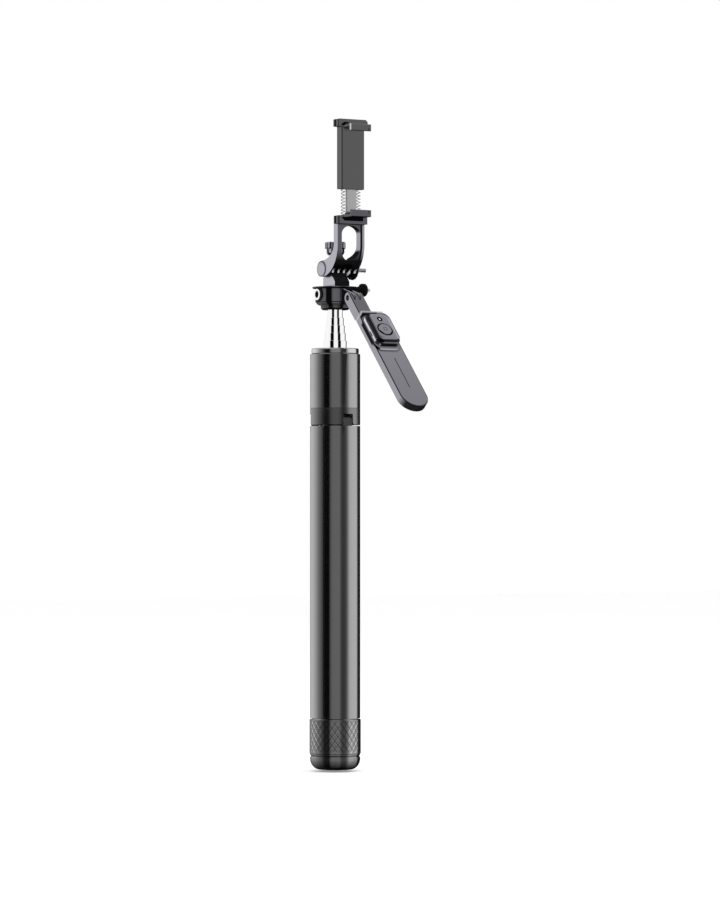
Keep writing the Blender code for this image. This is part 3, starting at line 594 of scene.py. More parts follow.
def build_world():
    """White to the camera, soft grey for diffuse light, and strips of light and dark for mirror-like surfaces."""
    world = bpy.data.worlds.new("studio")
    bpy.context.scene.world = world
    world.use_nodes = True
    tree = world.node_tree
    tree.nodes.clear()
    source = tree.nodes.new("ShaderNodeTexCoord")
    turn = tree.nodes.new("ShaderNodeVectorRotate")
    turn.rotation_type = "Z_AXIS"
    turn.inputs["Angle"].default_value = -math.radians(CAMERA_AZIMUTH)
    tree.links.new(source.outputs["Generated"], turn.inputs["Vector"])
    strips = strip_ramp(tree, heading(tree, turn.outputs["Vector"]), TUBE_STRIPS)
    parts = tree.nodes.new("ShaderNodeSeparateXYZ")
    tree.links.new(source.outputs["Generated"], parts.inputs["Vector"])
    above = node(tree, "ShaderNodeMapRange", From_Min=0.25, From_Max=0.6, To_Min=0.0, To_Max=1.0)
    tree.links.new(parts.outputs["Z"], above.inputs["Value"])
    ceiling = tree.nodes.new("ShaderNodeMix")
    ceiling.data_type = "RGBA"
    ceiling.inputs["B"].default_value = (0.5, 0.5, 0.51, 1)
    tree.links.new(above.outputs["Result"], ceiling.inputs["Factor"])
    tree.links.new(strips, ceiling.inputs["A"])
    below = node(tree, "ShaderNodeMapRange", From_Min=-0.95, From_Max=-0.5, To_Min=0.3, To_Max=1.0)
    tree.links.new(parts.outputs["Z"], below.inputs["Value"])
    shade = tree.nodes.new("ShaderNodeMix")
    shade.data_type = "RGBA"
    shade.blend_type = "MULTIPLY"
    shade.inputs["Factor"].default_value = 1.0
    tree.links.new(ceiling.outputs["Result"], shade.inputs["A"])
    tree.links.new(below.outputs["Result"], shade.inputs["B"])
    path = tree.nodes.new("ShaderNodeLightPath")
    glossy = background(tree, shade.outputs["Result"], 1.0)
    soft = background(tree, None, 0.8)
    white = background(tree, None, 1.0)
    first = mix_shaders(tree, path.outputs["Is Glossy Ray"], soft, glossy)
    last = mix_shaders(tree, path.outputs["Is Camera Ray"], first, white)
    output = tree.nodes.new("ShaderNodeOutputWorld")
    tree.links.new(last, output.inputs["Surface"])


def background(tree, colour, strength):
    made = tree.nodes.new("ShaderNodeBackground")
    made.inputs["Color"].default_value = (1, 1, 1, 1)
    made.inputs["Strength"].default_value = strength
    if colour is not None:
        tree.links.new(colour, made.inputs["Color"])
    return made.outputs["Background"]


def mix_shaders(tree, factor, one, two, share=0.5):
    mix = tree.nodes.new("ShaderNodeMixShader")
    mix.inputs["Fac"].default_value = share
    if factor is not None:
        tree.links.new(factor, mix.inputs["Fac"])
    tree.links.new(one, mix.inputs[1])
    tree.links.new(two, mix.inputs[2])
    return mix.outputs["Shader"]


def build_floor():
    bm = bmesh.new()
    bmesh.ops.create_grid(bm, x_segments=1, y_segments=1, size=6000)
    floor = make("floor", bm)
    floor.location.z = -0.0015
    mat, tree, shader = principled("pale_floor")
    tone = tinted(tree, noise(tree, 3.0, 2.0), (0.93, 0.93, 0.93), (0.96, 0.96, 0.96))
    tree.links.new(tone, shader.inputs["Base Color"])
    shader.inputs["Roughness"].default_value = 0.9
    shader.inputs["Emission Color"].default_value = (1, 1, 1, 1)
    shader.inputs["Emission Strength"].default_value = 0.25
    floor.data.materials.append(mat)
    floor.visible_glossy = False


def build_lights():
    """Two large soft boxes that only model the matt parts and the floor's soft shadow."""
    for name, place, size, power in (("key", (-1.2, -1.6, 2.2), 1.6, 26), ("fill", (1.8, -0.8, 1.6), 1.4, 10)):
        data = bpy.data.lights.new(name, "AREA")
        data.size = size
        data.energy = power
        lamp = bpy.data.objects.new(name, data)
        lamp.location = place
        lamp.rotation_euler = (Vector((0, 0, 0.3)) - Vector(place)).to_track_quat("-Z", "Y").to_euler()
        lamp.visible_glossy = False
        bpy.context.scene.collection.objects.link(lamp)


def build_camera():
    data = bpy.data.cameras.new("camera")
    data.lens = 154.5
    data.sensor_width = 36
    camera = bpy.data.objects.new("camera", data)
    distance, azimuth = 3.54, math.radians(CAMERA_AZIMUTH)
    side = Vector((math.cos(azimuth), math.sin(azimuth), 0))
    toward = Vector((math.sin(azimuth), -math.cos(azimuth), 0))
    target = side * 0.0228 + Vector((0, 0, 0.29415))
    camera.location = target + toward * distance
    camera.location.z = 0.239
    camera.rotation_euler = (target - camera.location).to_track_quat("-Z", "Y").to_euler()
    bpy.context.scene.collection.objects.link(camera)
    bpy.context.scene.camera = camera
    bpy.context.scene.view_settings.view_transform = "Standard"


# ---------------------------------------------------------------- handle

TUBE_R = 23.0

def knurled_base(look):
    """The base cap: a rounded foot, two lips with a groove between them, and a band of diamond knurling."""
    top, reach = high("base_cap").z, high("base_cap").y
    tube = TUBE_R
    foot = arc((14.2, 10.5), (tube - 14.2, 10.2), -90, 0, 20)
    rows = [(r, z) for r, z in foot]
    rows += [(tube, 11.4), (tube - 0.5, 11.9), (tube - 0.9, 12.2), (tube - 0.9, 13.0), (tube - 0.5, 13.3), (tube, 13.8)]
    rows += [(tube, 14.9), (tube + 0.2, 15.2)]
    knurl_low, knurl_high, count, steps = 15.4, top - 0.4, 25, 20
    levels = 88
    bm = bmesh.new()
    segments = count * steps
    rings = []
    for r, z in rows:
        rings.append([bm.verts.new((r * math.cos(a), r * math.sin(a), z)) for a in sweep(segments)])
    for level in range(levels + 1):
        z = knurl_low + (knurl_high - knurl_low) * level / levels
        ring = []
        for k, a in enumerate(sweep(segments)):
            r = reach - 0.95 * knurl_depth(k / steps, (z - knurl_low) / 7.6, level / levels)
            ring.append(bm.verts.new((r * math.cos(a), r * math.sin(a), z)))
        rings.append(ring)
    for r, z in ((tube + 0.25, top - 0.3), (tube, top), (14.6, top), (14.3, top - 0.3), (14.3, 9.0), (14.3, 8.0)):
        rings.append([bm.verts.new((r * math.cos(a), r * math.sin(a), z)) for a in sweep(segments)])
    for r, z in ((11.3, 2.1), (11.3, 0.6), (11.6, 0.3)):
        rings.insert(0, [bm.verts.new((r * math.cos(a), r * math.sin(a), z)) for a in sweep(segments)])
    rings[:3] = [rings[2], rings[1], rings[0]]
    for one, two in zip(rings, rings[1:]):
        for k in range(segments):
            n = (k + 1) % segments
            bm.faces.new([one[k], one[n], two[n], two[k]])
    bm.faces.new(rings[0][::-1])
    bm.faces.new(rings[-1])
    finish(make("base_cap_knurled", bm), "base", look, "gloss_black", "base_cap")


def sweep(segments):
    return [2 * math.pi * k / segments for k in range(segments)]


def knurl_depth(around, along, share):
    """0 on the flat top of a diamond and 1 in the V groove between diamonds, fading out at the band's ends."""
    one = abs((around + along) % 1 - 0.5) * 2
    two = abs((around - along) % 1 - 0.5) * 2
    groove = max(one, two)
    ends = min(1.0, 14 * share, 14 * (1 - share))
    return 0.3 + 0.7 * ends * max(0.0, (groove - 0.78) / 0.22)


def foot_pad(look):
    bottom, top, reach = 0.0, high("foot_pad").z, high("foot_pad").x
    profile = [(0, bottom + 0.5)]
    for k in range(5):
        r = 1.6 + 1.9 * k
        profile += [(r, bottom + 0.5), (r + 0.2, bottom), (r + 1.2, bottom), (r + 1.4, bottom + 0.5)]
    profile += [(reach - 0.4, bottom + 0.5), (reach, bottom + 0.7, 0.2), (reach, top), (0, top)]
    finish(make("foot_pad_ribbed", lathe(profile)), "base", look, "rubber", "foot_pad")


def core(look, collar_look):
    base, top, reach = low("core_tube").z, high("core_tube").z, high("core_tube").x
    tube = [(11.4, base, 0.2), (reach, base, 0.4), (reach, top, 0.4), (11.4, top, 0.2)]
    finish(make("core_tube_fine", lathe(tube)), "base", look, "black_metal", "core_tube")
    bottom, top, reach = low("top_collar").z, high("top_collar").z, high("top_collar").x
    rim = [(14.3, bottom), (reach, bottom, 0.3), (reach, top, 1.5), (14.6, top, 0.3), (13.9, top - 0.9, 0.3)]
    rim += [(11.9, top - 0.9, 0.3), (11.3, top - 0.3, 0.3), (10.9, top - 0.3, 0.2), (10.9, 384.0), (14.3, 384.0)]
    finish(make("top_collar_fine", lathe(rim, steps=6)), "base", collar_look, "gloss_black", "top_collar")


# ---------------------------------------------------------------- crown and legs

LEG_HEADINGS = (-90, 30, 150)


def slot_window(inner, outer=30.0):
    """The leg slot's outline, its lower corners flared, cut through a wall towards +X."""
    base, top = low("crown_band").z - 1.2, 326.0
    outline = [(-7.4, base), (7.4, base), (5.2, base + 2.9, 2.0), (5.2, top, 0.7), (-5.2, top, 0.7), (-5.2, base + 2.9, 2.0)]
    return turned(prism(outline, inner, outer, "Y"), 90)


def crown(band_look, hub_look, sleeve_look):
    base, top, reach = low("crown_band").z, high("crown_band").z, high("crown_band").x
    bore = 21.6
    ring = [(bore, base, 0.1), (reach, base, 0.35), (reach, top, 0.1), (bore, top, 0.1)]
    band = make("crown_band_fine", lathe(ring, 192))
    for angle in LEG_HEADINGS:
        combine(band, turned(slot_window(10.0), angle))
    finish(band, "crown", band_look, "satin_black", "crown_band")
    hub_base, hub_top = low("leg_hub").z, high("leg_hub").z
    body = [(14.2, hub_base, 0.2), (21.3, hub_base, 0.2), (21.3, top - 0.4, 0.2), (20.4, top - 0.4), (20.4, hub_top, 0.4)]
    hub = make("leg_hub_fine", lathe(body + [(14.2, hub_top, 0.4)], 128))
    for angle in LEG_HEADINGS:
        combine(hub, turned(slot_window(10.0), angle))
    pin = joint_mm("front_leg_hinge")
    for angle in LEG_HEADINGS:
        combine(hub, turned(prism(circle((-pin.y, pin.z), 1.35, 24), -8.6, 8.6, "X"), angle + 90))
    finish(hub, "crown", hub_look, "satin_black", "leg_hub")
    base, top = low("crown_sleeve").z, high("crown_sleeve").z
    wall = [(20.7, base, 0.2), (reach, base, 0.12), (reach, top, 0.7), (20.7, top, 0.3)]
    finish(make("crown_sleeve_fine", lathe(wall, steps=6)), "crown", sleeve_look, "black_metal", "crown_sleeve")
    base, top = low("sleeve_guide").z, high("sleeve_guide").z
    guide = [(14.2, base, 0.5), (20.4, base, 0.4), (20.4, top, 0.4), (14.2, top, 0.5)]
    finish(make("sleeve_guide_fine", lathe(guide)), "crown", hub_look, "satin_black", "sleeve_guide")


def leg_pins(look):
    pin = joint_mm("front_leg_hinge")
    for k, angle in enumerate(LEG_HEADINGS):
        profile = [(0, -8.2), (1.2, -8.2, 0.3), (1.2, 8.2, 0.3), (0, 8.2)]
        bm = turned(side_lathe(profile, (-pin.y, pin.z), 32), angle + 90)
        finish(make(f"leg_pin_{k + 1}_fine", bm), "crown", look, "steel", f"leg_pin_{k + 1}")


def leg_shell():
    """A third of the tube facing -Y, its long edges rounded and its ends bevelled inside."""
    base, top, reach, inner = low("leg_1").z, 315.4, 23.0, 20.5
    profile = soften([(inner, base + 2.9, 0.3), (reach, base, 0.25), (reach, top, 0.25), (inner, top - 2.2, 0.3)], 3)
    half, steps = 59.5, 60
    bm = bmesh.new()
    angles = [-90 - half] + [-90 - half + 0.35] + [-90 - half + 2 * half * k / steps for k in range(1, steps)]
    angles += [-90 + half - 0.35, -90 + half]
    slices = []
    for k, degrees in enumerate(angles):
        a = math.radians(degrees)
        shrink = 0.22 if k in (0, len(angles) - 1) else 0.0
        slices.append([bm.verts.new(((r - shrink * (1 if r > 21.5 else -1)) * math.cos(a),
                                     (r - shrink * (1 if r > 21.5 else -1)) * math.sin(a), z)) for r, z in profile])
    count = len(profile)
    bm.faces.new(slices[0])
    bm.faces.new(slices[-1][::-1])
    for near, far in zip(slices, slices[1:]):
        for k in range(count):
            n = (k + 1) % count
            bm.faces.new([near[k], near[n], far[n], far[k]])
    return bm


def legs(look, lug_look, pad_look):
    pin = joint_mm("front_leg_hinge")
    forward, height = -pin.y, pin.z
    lug = arc((forward, height), 3.6, 180, 0, 28)
    lug += [(forward + 3.6, 314.0), (forward + 2.6, 303.0), (19.4, 299.0), (forward - 3.6, 308.0, 2.0)]
    foot = [(16.5, 52.5, 0.6), (19.2, 52.5, 0.3), (19.2, 64.0, 0.3), (18.0, 64.0, 0.5), (16.5, 60.0, 1.0)]
    for k, angle in enumerate(LEG_HEADINGS):
        body = ("front_leg", "right_leg", "left_leg")[k]
        shell = make(f"leg_{k + 1}_shell", turned(leg_shell(), angle + 90))
        finish(shell, body, look, "black_metal", f"leg_{k + 1}")
        tab = make(f"leg_{k + 1}_lug", prism(lug, -4.8, 4.8, "X"))
        combine(tab, prism(circle((forward, height), 1.35, 32), -6, 6, "X"))
        bevel(tab, 0.35)
        tab.data.transform(Matrix.Rotation(math.radians(angle + 90), 4, "Z"))
        finish(tab, body, lug_look, "black_metal")
        pad = make(f"leg_foot_{k + 1}_ribbed", prism(foot, -6, 6, "X"))
        for rib in range(4):
            combine(pad, prism(rectangle(15, 16.9, 54.2 + 1.9 * rib, 55.0 + 1.9 * rib), -8, 8, "X"))
        bevel(pad, 0.2, 2)
        pad.data.transform(Matrix.Rotation(math.radians(angle + 90), 4, "Z"))
        finish(pad, body, pad_look, "rubber", f"leg_foot_{k + 1}")


# ---------------------------------------------------------------- pole

def pole(look, plug_look):
    bodies = ("pole_1", "pole_2", "pole_3", "pole_4", "head_base")
    for k, body in enumerate(bodies):
        name = f"pole_stage_{k + 1}"
        base, top, reach = low(name).z, high(name).z, high(name).x
        inner = reach - 0.5
        tube = [(inner, base), (reach, base, 0.1), (reach, top, 0.3), (inner, top, 0.15)]
        finish(make(f"{name}_fine", lathe(tube, 96)), body, look, "chrome", name)
        frame["nodes"][f"stage_plug_{k + 1}"].data.materials.clear()
        frame["nodes"][f"stage_plug_{k + 1}"].data.materials.append(plug_look)


# ---------------------------------------------------------------- head base

def hub_finger(x0, x1, hinge):
    outline = arc(hinge, 5.0, -90, 65, 30)
    outline += [(17.0, 441.2, 1.0), (14.0, 441.2), (14.0, 427.3), (22.0, 427.3, 3.0)]
    return prism(outline, x0, x1, "X")


def head_base(look, finger_look, insert_look, pin_look):
    base, top, reach = low("head_ring").z, high("head_ring").z, high("head_ring").x
    bore = 7.2
    ring = [(bore, base), (bore + 1.2, base, 0.2), (bore + 1.8, base + 0.5, 0.2), (reach - 1.4, base, 0.5)]
    ring += [(reach, base + 1.6, 1.0), (reach, base + 2.6, 0.1), (reach - 0.4, base + 2.75, 0.1)]
    ring += [(reach - 0.4, base + 3.05, 0.1), (reach, base + 3.2, 0.1), (reach, top, 0.3), (bore, top)]
    finish(make("head_ring_fine", lathe(ring)), "head_base", look, "gloss_black", "head_ring")
    base, top = low("pan_housing").z, high("pan_housing").z
    body = [(bore, base), (15.6, base, 0.2), (15.6, base + 0.9, 0.15), (17.2, base + 0.9, 0.2), (17.2, base + 2.2, 0.2)]
    body += [(18.2, base + 2.6, 0.4), (18.2, top - 1.6, 0.5), (20.6, top - 1.4, 0.6), (21.2, top - 0.7, 0.5)]
    body += [(20.8, top, 0.4), (5.4, top, 0.2), (5.4, 435.4), (0, 435.4), (0, 434.4), (bore, 434.4)]
    housing = make("pan_housing_fine", lathe(body, 160))
    socket = (0.0, 435.7)
    combine(housing, side_lathe([(0, -12.5), (6.1, -12.5), (6.1, -18.6, 0.5), (0, -18.6)], socket), "UNION")
    combine(housing, prism(circle(socket, 5.5, 64), -24, -13.0, "X"))
    hinge = joint_mm("arm_swing")
    hinge = (-hinge.y, hinge.z)
    side = joint_mm("side_knob_turn")
    for k, x0 in enumerate((-4.1, 1.6)):
        finger = make(f"hub_finger_{k + 1}", hub_finger(x0, x0 + 2.5, hinge))
        combine(finger, prism(circle(hinge, 2.7, 40), -8, 8, "X"))
        combine(finger, prism(circle((-side.y, side.z), 1.9, 32), -2.5, 8, "X"))
        finish(bevel(finger, 0.22, 2), "head_base", finger_look, "gloss_black")
    bevel(housing, 0.22, 2)
    finish(housing, "head_base", look, "gloss_black", "pan_housing")
    face, back = low("thread_insert").x, high("thread_insert").x
    thread = []
    turns = 9
    pitch = 0.75
    for k in range(turns):
        x = face + 0.5 + pitch * k
        thread += [(3.3, x), (3.3 - 0.1, x + 0.12), (2.95 + 0.25, x + 0.36), (3.3 - 0.1, x + 0.6)]
    profile = [(5.2, back), (5.2, face, 0.4), (3.5, face, 0.3)] + thread + [(3.2, back - 0.9), (0, back - 0.9), (0, back)]
    # the insert glows white with a painted highlight, and painted shade deep in the socket
    insert = side_lathe(profile, socket, 96)
    finish(make("thread_insert_fine", insert), "head_base", insert_look, "steel", "thread_insert")
    gasket = side_lathe([(5.3, -17.0), (6.8, -17.0), (6.8, -18.55, 0.3), (5.3, -18.55)], socket, 96)
    finish(make("socket_gasket", gasket), "head_base", pin_look, "rubber")
    start, end = low("arm_pin").x, high("arm_pin").x
    pin = [(0, start + 0.5), (1.0, start + 0.5, 0.2), (1.3, start, 0.15), (2.4, start, 0.3), (2.4, end, 0.3)]
    pin += [(1.3, end, 0.15), (1.0, end - 0.5, 0.2), (0, end - 0.5)]
    finish(make("arm_pin_fine", side_lathe(pin, hinge)), "head_base", pin_look, "steel", "arm_pin")


def fluted(profile, flutes, depth, keep, segments=180):
    """A turned knob whose rim is pressed in by rounded flutes wherever its radius passes keep."""
    bm = lathe(profile, segments)
    for vert in bm.verts:
        r = math.hypot(vert.co.x, vert.co.y)
        if r > keep:
            wave = 0.5 - 0.5 * math.cos(flutes * math.atan2(vert.co.y, vert.co.x))
            scale = (r - depth * wave ** 2 * min(1.0, (r - keep) / 0.8)) / r
            vert.co.x *= scale
            vert.co.y *= scale
    return bm


def lay_along_x(bm, centre):
    """Tip a shape turned about Z so that its height runs along X, then move it to (forward, height)."""
    bmesh.ops.rotate(bm, verts=bm.verts, cent=(0, 0, 0), matrix=Matrix.Rotation(math.radians(90), 3, "Y"))
    bmesh.ops.translate(bm, verts=bm.verts, vec=(0, -centre[0], centre[1]))
    return bm


def side_knob(look, tip_look):
    axis = joint_mm("side_knob_turn")
    centre = (-axis.y, axis.z)
    profile = [(0, -2.0), (1.6, -2.0, 0.3), (1.6, 4.5), (3.0, 4.5, 0.3), (3.0, 12.0, 0.5), (5.4, 12.5, 0.5)]
    profile += [(6.0, 13.3, 0.5), (6.0, 16.6, 0.5), (5.2, 17.4, 0.6), (2.6, 17.4, 0.2), (2.4, 17.0), (0, 17.0)]
    bm = lay_along_x(fluted(profile, 24, 0.35, 5.2), centre)
    finish(make("side_knob_fine", bm), "side_knob", look, "gloss_black", "thumb_knob")
    # the screw end glows evenly: a painted highlight
    tip = side_lathe([(0, 16.9), (1.6, 16.9), (1.6, 22.0, 0.5), (0, 22.0)], centre, 32)
    finish(make("side_knob_tip", tip), "side_knob", tip_look, "steel")


def hinge_pin_centre(look):
    hinge = joint_mm("arm_swing")
    start = low("arm_pin").x
    # the pin's end disc glows an even dark grey: painted light
    disc = side_lathe([(0, start + 0.1), (1.1, start + 0.1, 0.15), (1.1, start + 0.5), (0, start + 0.5)], (-hinge.y, hinge.z), 32)
    finish(make("arm_pin_centre", disc), "head_base", look, "steel")


# ---------------------------------------------------------------- neck, yoke and knobs

def neck(look):
    tilt = joint_mm("phone_tilt").z
    half, back, front = high("neck").x, -high("neck").y, -low("neck").y
    base, top = 443.4, 452.0
    side = [(back, base, 0.6), (front, base, 0.6), (front, top - 4.4, 1.2), (front - 4.0, top, 1.2), (back, top, 0.8)]
    block = make("neck_fine", prism(side, -half, half, "X"))
    lug = arc((0, tilt), 7.0, 0, 180, 40) + [(-7.0, top - 5), (7.0, top - 5)]
    combine(block, prism(lug, 0.1 - half, half - 0.1, "X"), "UNION")
    seat = high("neck").z
    combine(block, lathe([(0, tilt + 4), (5.0, tilt + 4), (5.0, seat, 0.5), (0, seat)], 64), "UNION")
    combine(block, lathe([(0, 436.0), (5.0, 436.0, 0.5), (5.0, top - 5), (0, top - 5)], 64), "UNION")
    combine(block, prism(circle((0, tilt), 2.2, 40), -10, 10, "X"))
    combine(block, lathe([(0, tilt + 3), (2.2, tilt + 3), (2.2, seat + 1), (0, seat + 1)], 40))
    bevel(block, 0.4)
    finish(block, "pan_neck", look, "gloss_black", "neck")


WEB_SLOTS = (-11.8, -5.9, 0.0, 5.9, 11.8)


def yoke_outline(tilt):
    centre, top = tilt + 21.8, high("yoke").z
    outline = arc((0, centre), (27.7, 29.0), -90, 0, 48)
    outline += [(27.7, top), (20.8, top)]
    outline += arc((0, centre), (20.8, 14.0), 0, -88, 36)
    return outline + arc((0, tilt + 0.3), 7.5, 100, 260, 30)


def yoke(look, slot_look, painted_highlight_look):
    tilt = joint_mm("phone_tilt").z
    reach, neck_half = high("yoke").x, high("neck").x
    body = make("yoke_fine", prism(yoke_outline(tilt), -reach, reach, "X"))
    window = arc((0, tilt + 17.8), (9.9, 11.0), 180, 360, 40) + arc((0, tilt + 30.8), (9.9, 7.8), 0, 180, 40)
    combine(body, prism(window, -20, 40, "Y"))
    swing = arc((0, tilt), 13.8, -100, 90, 40) + [(-12, tilt + 21.8), (-12, tilt - 18)]
    combine(body, prism(swing, -neck_half - 0.3, neck_half + 0.3, "X"))
    for x in WEB_SLOTS:
        combine(body, prism(rounded(x - 0.9, x + 0.9, tilt - 4.2, tilt, 0.8), 9, 30, "Y"))
    combine(body, prism(circle((0, tilt), 2.2, 40), -20, 20, "X"))
    bevel(body, 0.5, 3)
    finish(body, "phone_holder", look, "black_metal", "yoke")
    # the ribs in the web slots glow evenly: painted highlights
    for k, x in enumerate(WEB_SLOTS):
        rib = prism(rounded(x - 0.85, x + 0.85, tilt - 4.1, tilt - 0.1, 0.75), 14.6, 15.6, "Y")
        rib = bevel(make(f"yoke_rib_{k + 1}", rib), 0.25, 3)
        finish(rib, "phone_holder", painted_highlight_look, "steel")
    near, far = high("tilt_cap").x, low("tilt_cap").x
    profile = [(0, near), (7.2, near, 0.1), (7.2, far + 0.1, 0.15), (6.5, far, 0.1), (6.35, far + 0.25, 0.1)]
    profile += [(6.2, far, 0.1), (0, far)]
    cap = make("tilt_cap_fine", side_lathe(profile, (0, tilt), 96))
    finish(cap, "phone_holder", slot_look, "satin_black", "tilt_cap")


def tilt_knob(look, screw_look):
    centre = (0, joint_mm("phone_tilt").z)
    start, end = low("tilt_knob").x, high("tilt_knob").x
    profile = [(2.2, start), (4.6, start, 0.4), (4.6, start + 0.8, 0.4), (8.0, start + 1.4, 0.6), (9.2, start + 2.2, 0.7)]
    profile += [(9.2, end - 1.0, 0.7), (8.2, end, 0.7), (4.5, end, 0.4), (4.0, end - 0.6, 0.2), (2.2, end - 0.6)]
    bm = lay_along_x(fluted(profile, 16, 0.8, 7.6, 200), centre)
    finish(make("tilt_knob_fine", bm), "tilt_lock", look, "gloss_black", "tilt_knob")
    start, end, radius = low("tilt_screw").x, high("tilt_screw").x, 1.9
    profile = [(0, start), (radius, start, 0.2)]
    pitch, first = 0.6, high("tilt_knob").x + 0.6
    for k in range(int((end - first - 0.8) / pitch)):
        x = first + pitch * k
        profile += [(radius, x), (radius - 0.28, x + pitch / 2)]
    profile += [(radius, end - 1.0), (radius, end, 0.6), (0, end)]
    finish(make("tilt_screw_fine", side_lathe(profile, centre, 48)), "tilt_lock", screw_look, "steel", "tilt_screw")


def top_knob(look):
    base, top, reach = low("top_knob").z, high("top_knob").z, high("top_knob").x
    rim, seat = top - 6.2, base + 5.2
    profile = [(0, base), (1.9, base, 0.3), (1.9, seat), (5.0, seat, 0.3), (5.0, rim - 6.2, 0.3), (6.9, rim - 6.0, 0.4)]
    profile += [(8.4, rim - 4.0, 0.5), (8.6, rim - 0.5, 0.3), (8.0, rim - 0.3, 0.2), (8.0, rim - 0.1, 0.2)]
    profile += [(reach - 0.4, rim, 0.3), (reach, rim + 0.5, 0.3), (reach, top - 0.7, 0.5), (reach - 0.9, top, 0.5)]
    profile += [(5.6, top, 0.3), (5.2, top - 0.5, 0.3), (0, top - 0.5)]
    finish(make("top_knob_fine", fluted(profile, 16, 0.65, 8.7)), "pan_knob", look, "gloss_black", "top_knob")


# ---------------------------------------------------------------- phone clamp

def lip_outline(level, direction, front):
    """An L in side view: a shelf under or over the phone and the lip in front of it."""
    outer, lip = level - 2.3 * direction, level + 4.0 * direction
    return [(26.8, level), (26.8, outer), (front, outer, 0.8), (front, lip, 0.8), (front - 2.4, lip, 0.5),
            (front - 2.4, level, 0.6)]


SIDE_GROOVES = ((25.2, 1.4), (30.5, 0.6))


def side_grooves(block, x, z0, z1):
    """Upright grooves in the block's left side."""
    for f, half in SIDE_GROOVES:
        combine(block, prism(rectangle(f - half, f + half, z0 - 1, z1 + 1), x - 1, x + 0.8, "X"))


def painted_shade_inlays(name, body, look, recess, z0, z1):
    """Black sheets in a block's front recess and in its two side grooves: painted shade where the hollows fall dark."""
    liners = [prism([(u * 0.985, v) for u, v, *_ in recess], 30.0, 31.2, "Y")]
    liners += [prism(rectangle(f - half + 0.05, f + half - 0.05, z0 + 0.3, z1 - 0.3), -15.35, -14.8, "X")
               for f, half in SIDE_GROOVES]
    for k, bm in enumerate(liners):
        finish(bevel(make(f"{name}_liner_{k + 1}", bm), 0.1, 1), body, look, "rubber")


def lip_notch(block, front, z0, z1):
    """A small upright notch by the right end of a lip."""
    combine(block, prism(rounded(7.5, 8.5, z0, z1, 0.4), front - 0.7, front + 1, "Y"))


def clamp_base(look, rail_look, pad_look, painted_shade_look):
    base, top = low("clamp_base").z, 506.6
    front = -low("clamp_base").y
    block = make("clamp_base_fine", prism(rounded(-15.5, 15.5, 21.8, 31.7, 1.0), base, top, "Z"))
    shelf = low("lower_pad").z - 0.3
    combine(block, prism(lip_outline(shelf, 1, front), -10.5, 10.5, "X"), "UNION")
    recess = [(-12.6, base + 5.6, 0.6), (-9.6, base + 2.6, 0.8), (10.8, base + 2.6, 1.2), (10.8, base + 5.9, 1.2)]
    recess.append((-12.6, base + 5.9, 0.3))
    combine(block, prism(recess, 30.2, 35.0, "Y"))
    side_grooves(block, -15.5, base, top)
    # painted shade in the recess and side grooves
    painted_shade_inlays(block.name, "phone_holder", painted_shade_look, recess, base, top)
    lip_notch(block, front, shelf + 0.6, shelf + 3.2)
    bevel(block, 0.35, 3)
    finish(block, "phone_holder", look, "gloss_black", "clamp_base")
    rail = prism(rounded(-5.5, 5.5, 25.2, 28.6, 0.6), low("clamp_rail").z, high("clamp_rail").z, "Z")
    rail = bevel(make("clamp_rail_fine", rail), 0.3, 2)
    finish(rail, "phone_holder", rail_look, "steel", "clamp_rail")
    ribbed_pad("lower_pad", "phone_holder", pad_look, 1)


def ribbed_pad(node_name, body, look, direction):
    """A thin rubber pad with ribs across the side that meets the phone."""
    start, end = low(node_name), high(node_name)
    back, face = (start.z, end.z) if direction > 0 else (end.z, start.z)
    outline = [(-end.y, back), (-start.y, back)]
    ribs = 7
    step = (end.y - start.y) / ribs
    for k in range(ribs):
        f = -start.y - step * k
        outline += [(f - 0.1 * step, face, 0.15), (f - 0.6 * step, face, 0.15)]
        outline += [(f - 0.7 * step, face - 0.35 * direction), (f - 0.98 * step, face - 0.35 * direction)]
    pad = make(f"{node_name}_ribbed", prism(outline, start.x, end.x, "X"))
    finish(pad, body, look, "rubber", node_name)


def upper_jaw(look, pad_look, painted_shade_look, end_look):
    top = high("upper_jaw").z
    base, front = top - 6.9, -low("upper_jaw").y
    block_outline = [(-15.5, base, 0.8), (15.5, base, 0.8), (15.5, top - 2.0, 0.6), (13.6, top, 1.0), (-15.5, top, 0.8)]
    block = make("upper_jaw_fine", prism(block_outline, 21.8, 31.7, "Y"))
    channel = rounded(-12.5, 12.5, 22.3, 31.3, 1.5)
    combine(block, prism(channel, low("upper_jaw").z, base + 1.5, "Z"), "UNION")
    shelf = high("upper_pad").z + 0.3
    combine(block, prism(lip_outline(shelf, -1, front), -10.5, 10.5, "X"), "UNION")
    combine(block, prism(rectangle(-10.9, 10.9, 23.6, 30.2), low("upper_jaw").z - 9, shelf - 0.7, "Z"))
    recess = [(-13.0, base + 0.8, 0.4), (-5.0, base + 0.8, 0.4), (-5.0, base + 4.0, 0.8), (-10.0, base + 4.0, 0.8)]
    recess.append((-13.0, base + 1.9, 0.6))
    combine(block, prism(recess, 30.2, 35.0, "Y"))
    # painted shade in the recess and side grooves
    painted_shade_inlays(block.name, "jaw", painted_shade_look, recess, base, top)
    side_grooves(block, -15.5, base, top)
    lip_notch(block, front, shelf - 3.4, shelf - 0.9)
    bevel(block, 0.35, 3)
    finish(block, "jaw", look, "gloss_black", "upper_jaw")
    # a rounded end on the lip that carries a painted highlight
    end = prism(circle((-10.3, front - 1.35), 1.3, 32), shelf - 3.8, shelf + 2.1, "Z")
    finish(bevel(make("upper_jaw_lip_end", end), 0.4, 3), "jaw", end_look, "gloss_black")
    ribbed_pad("upper_pad", "jaw", pad_look, -1)


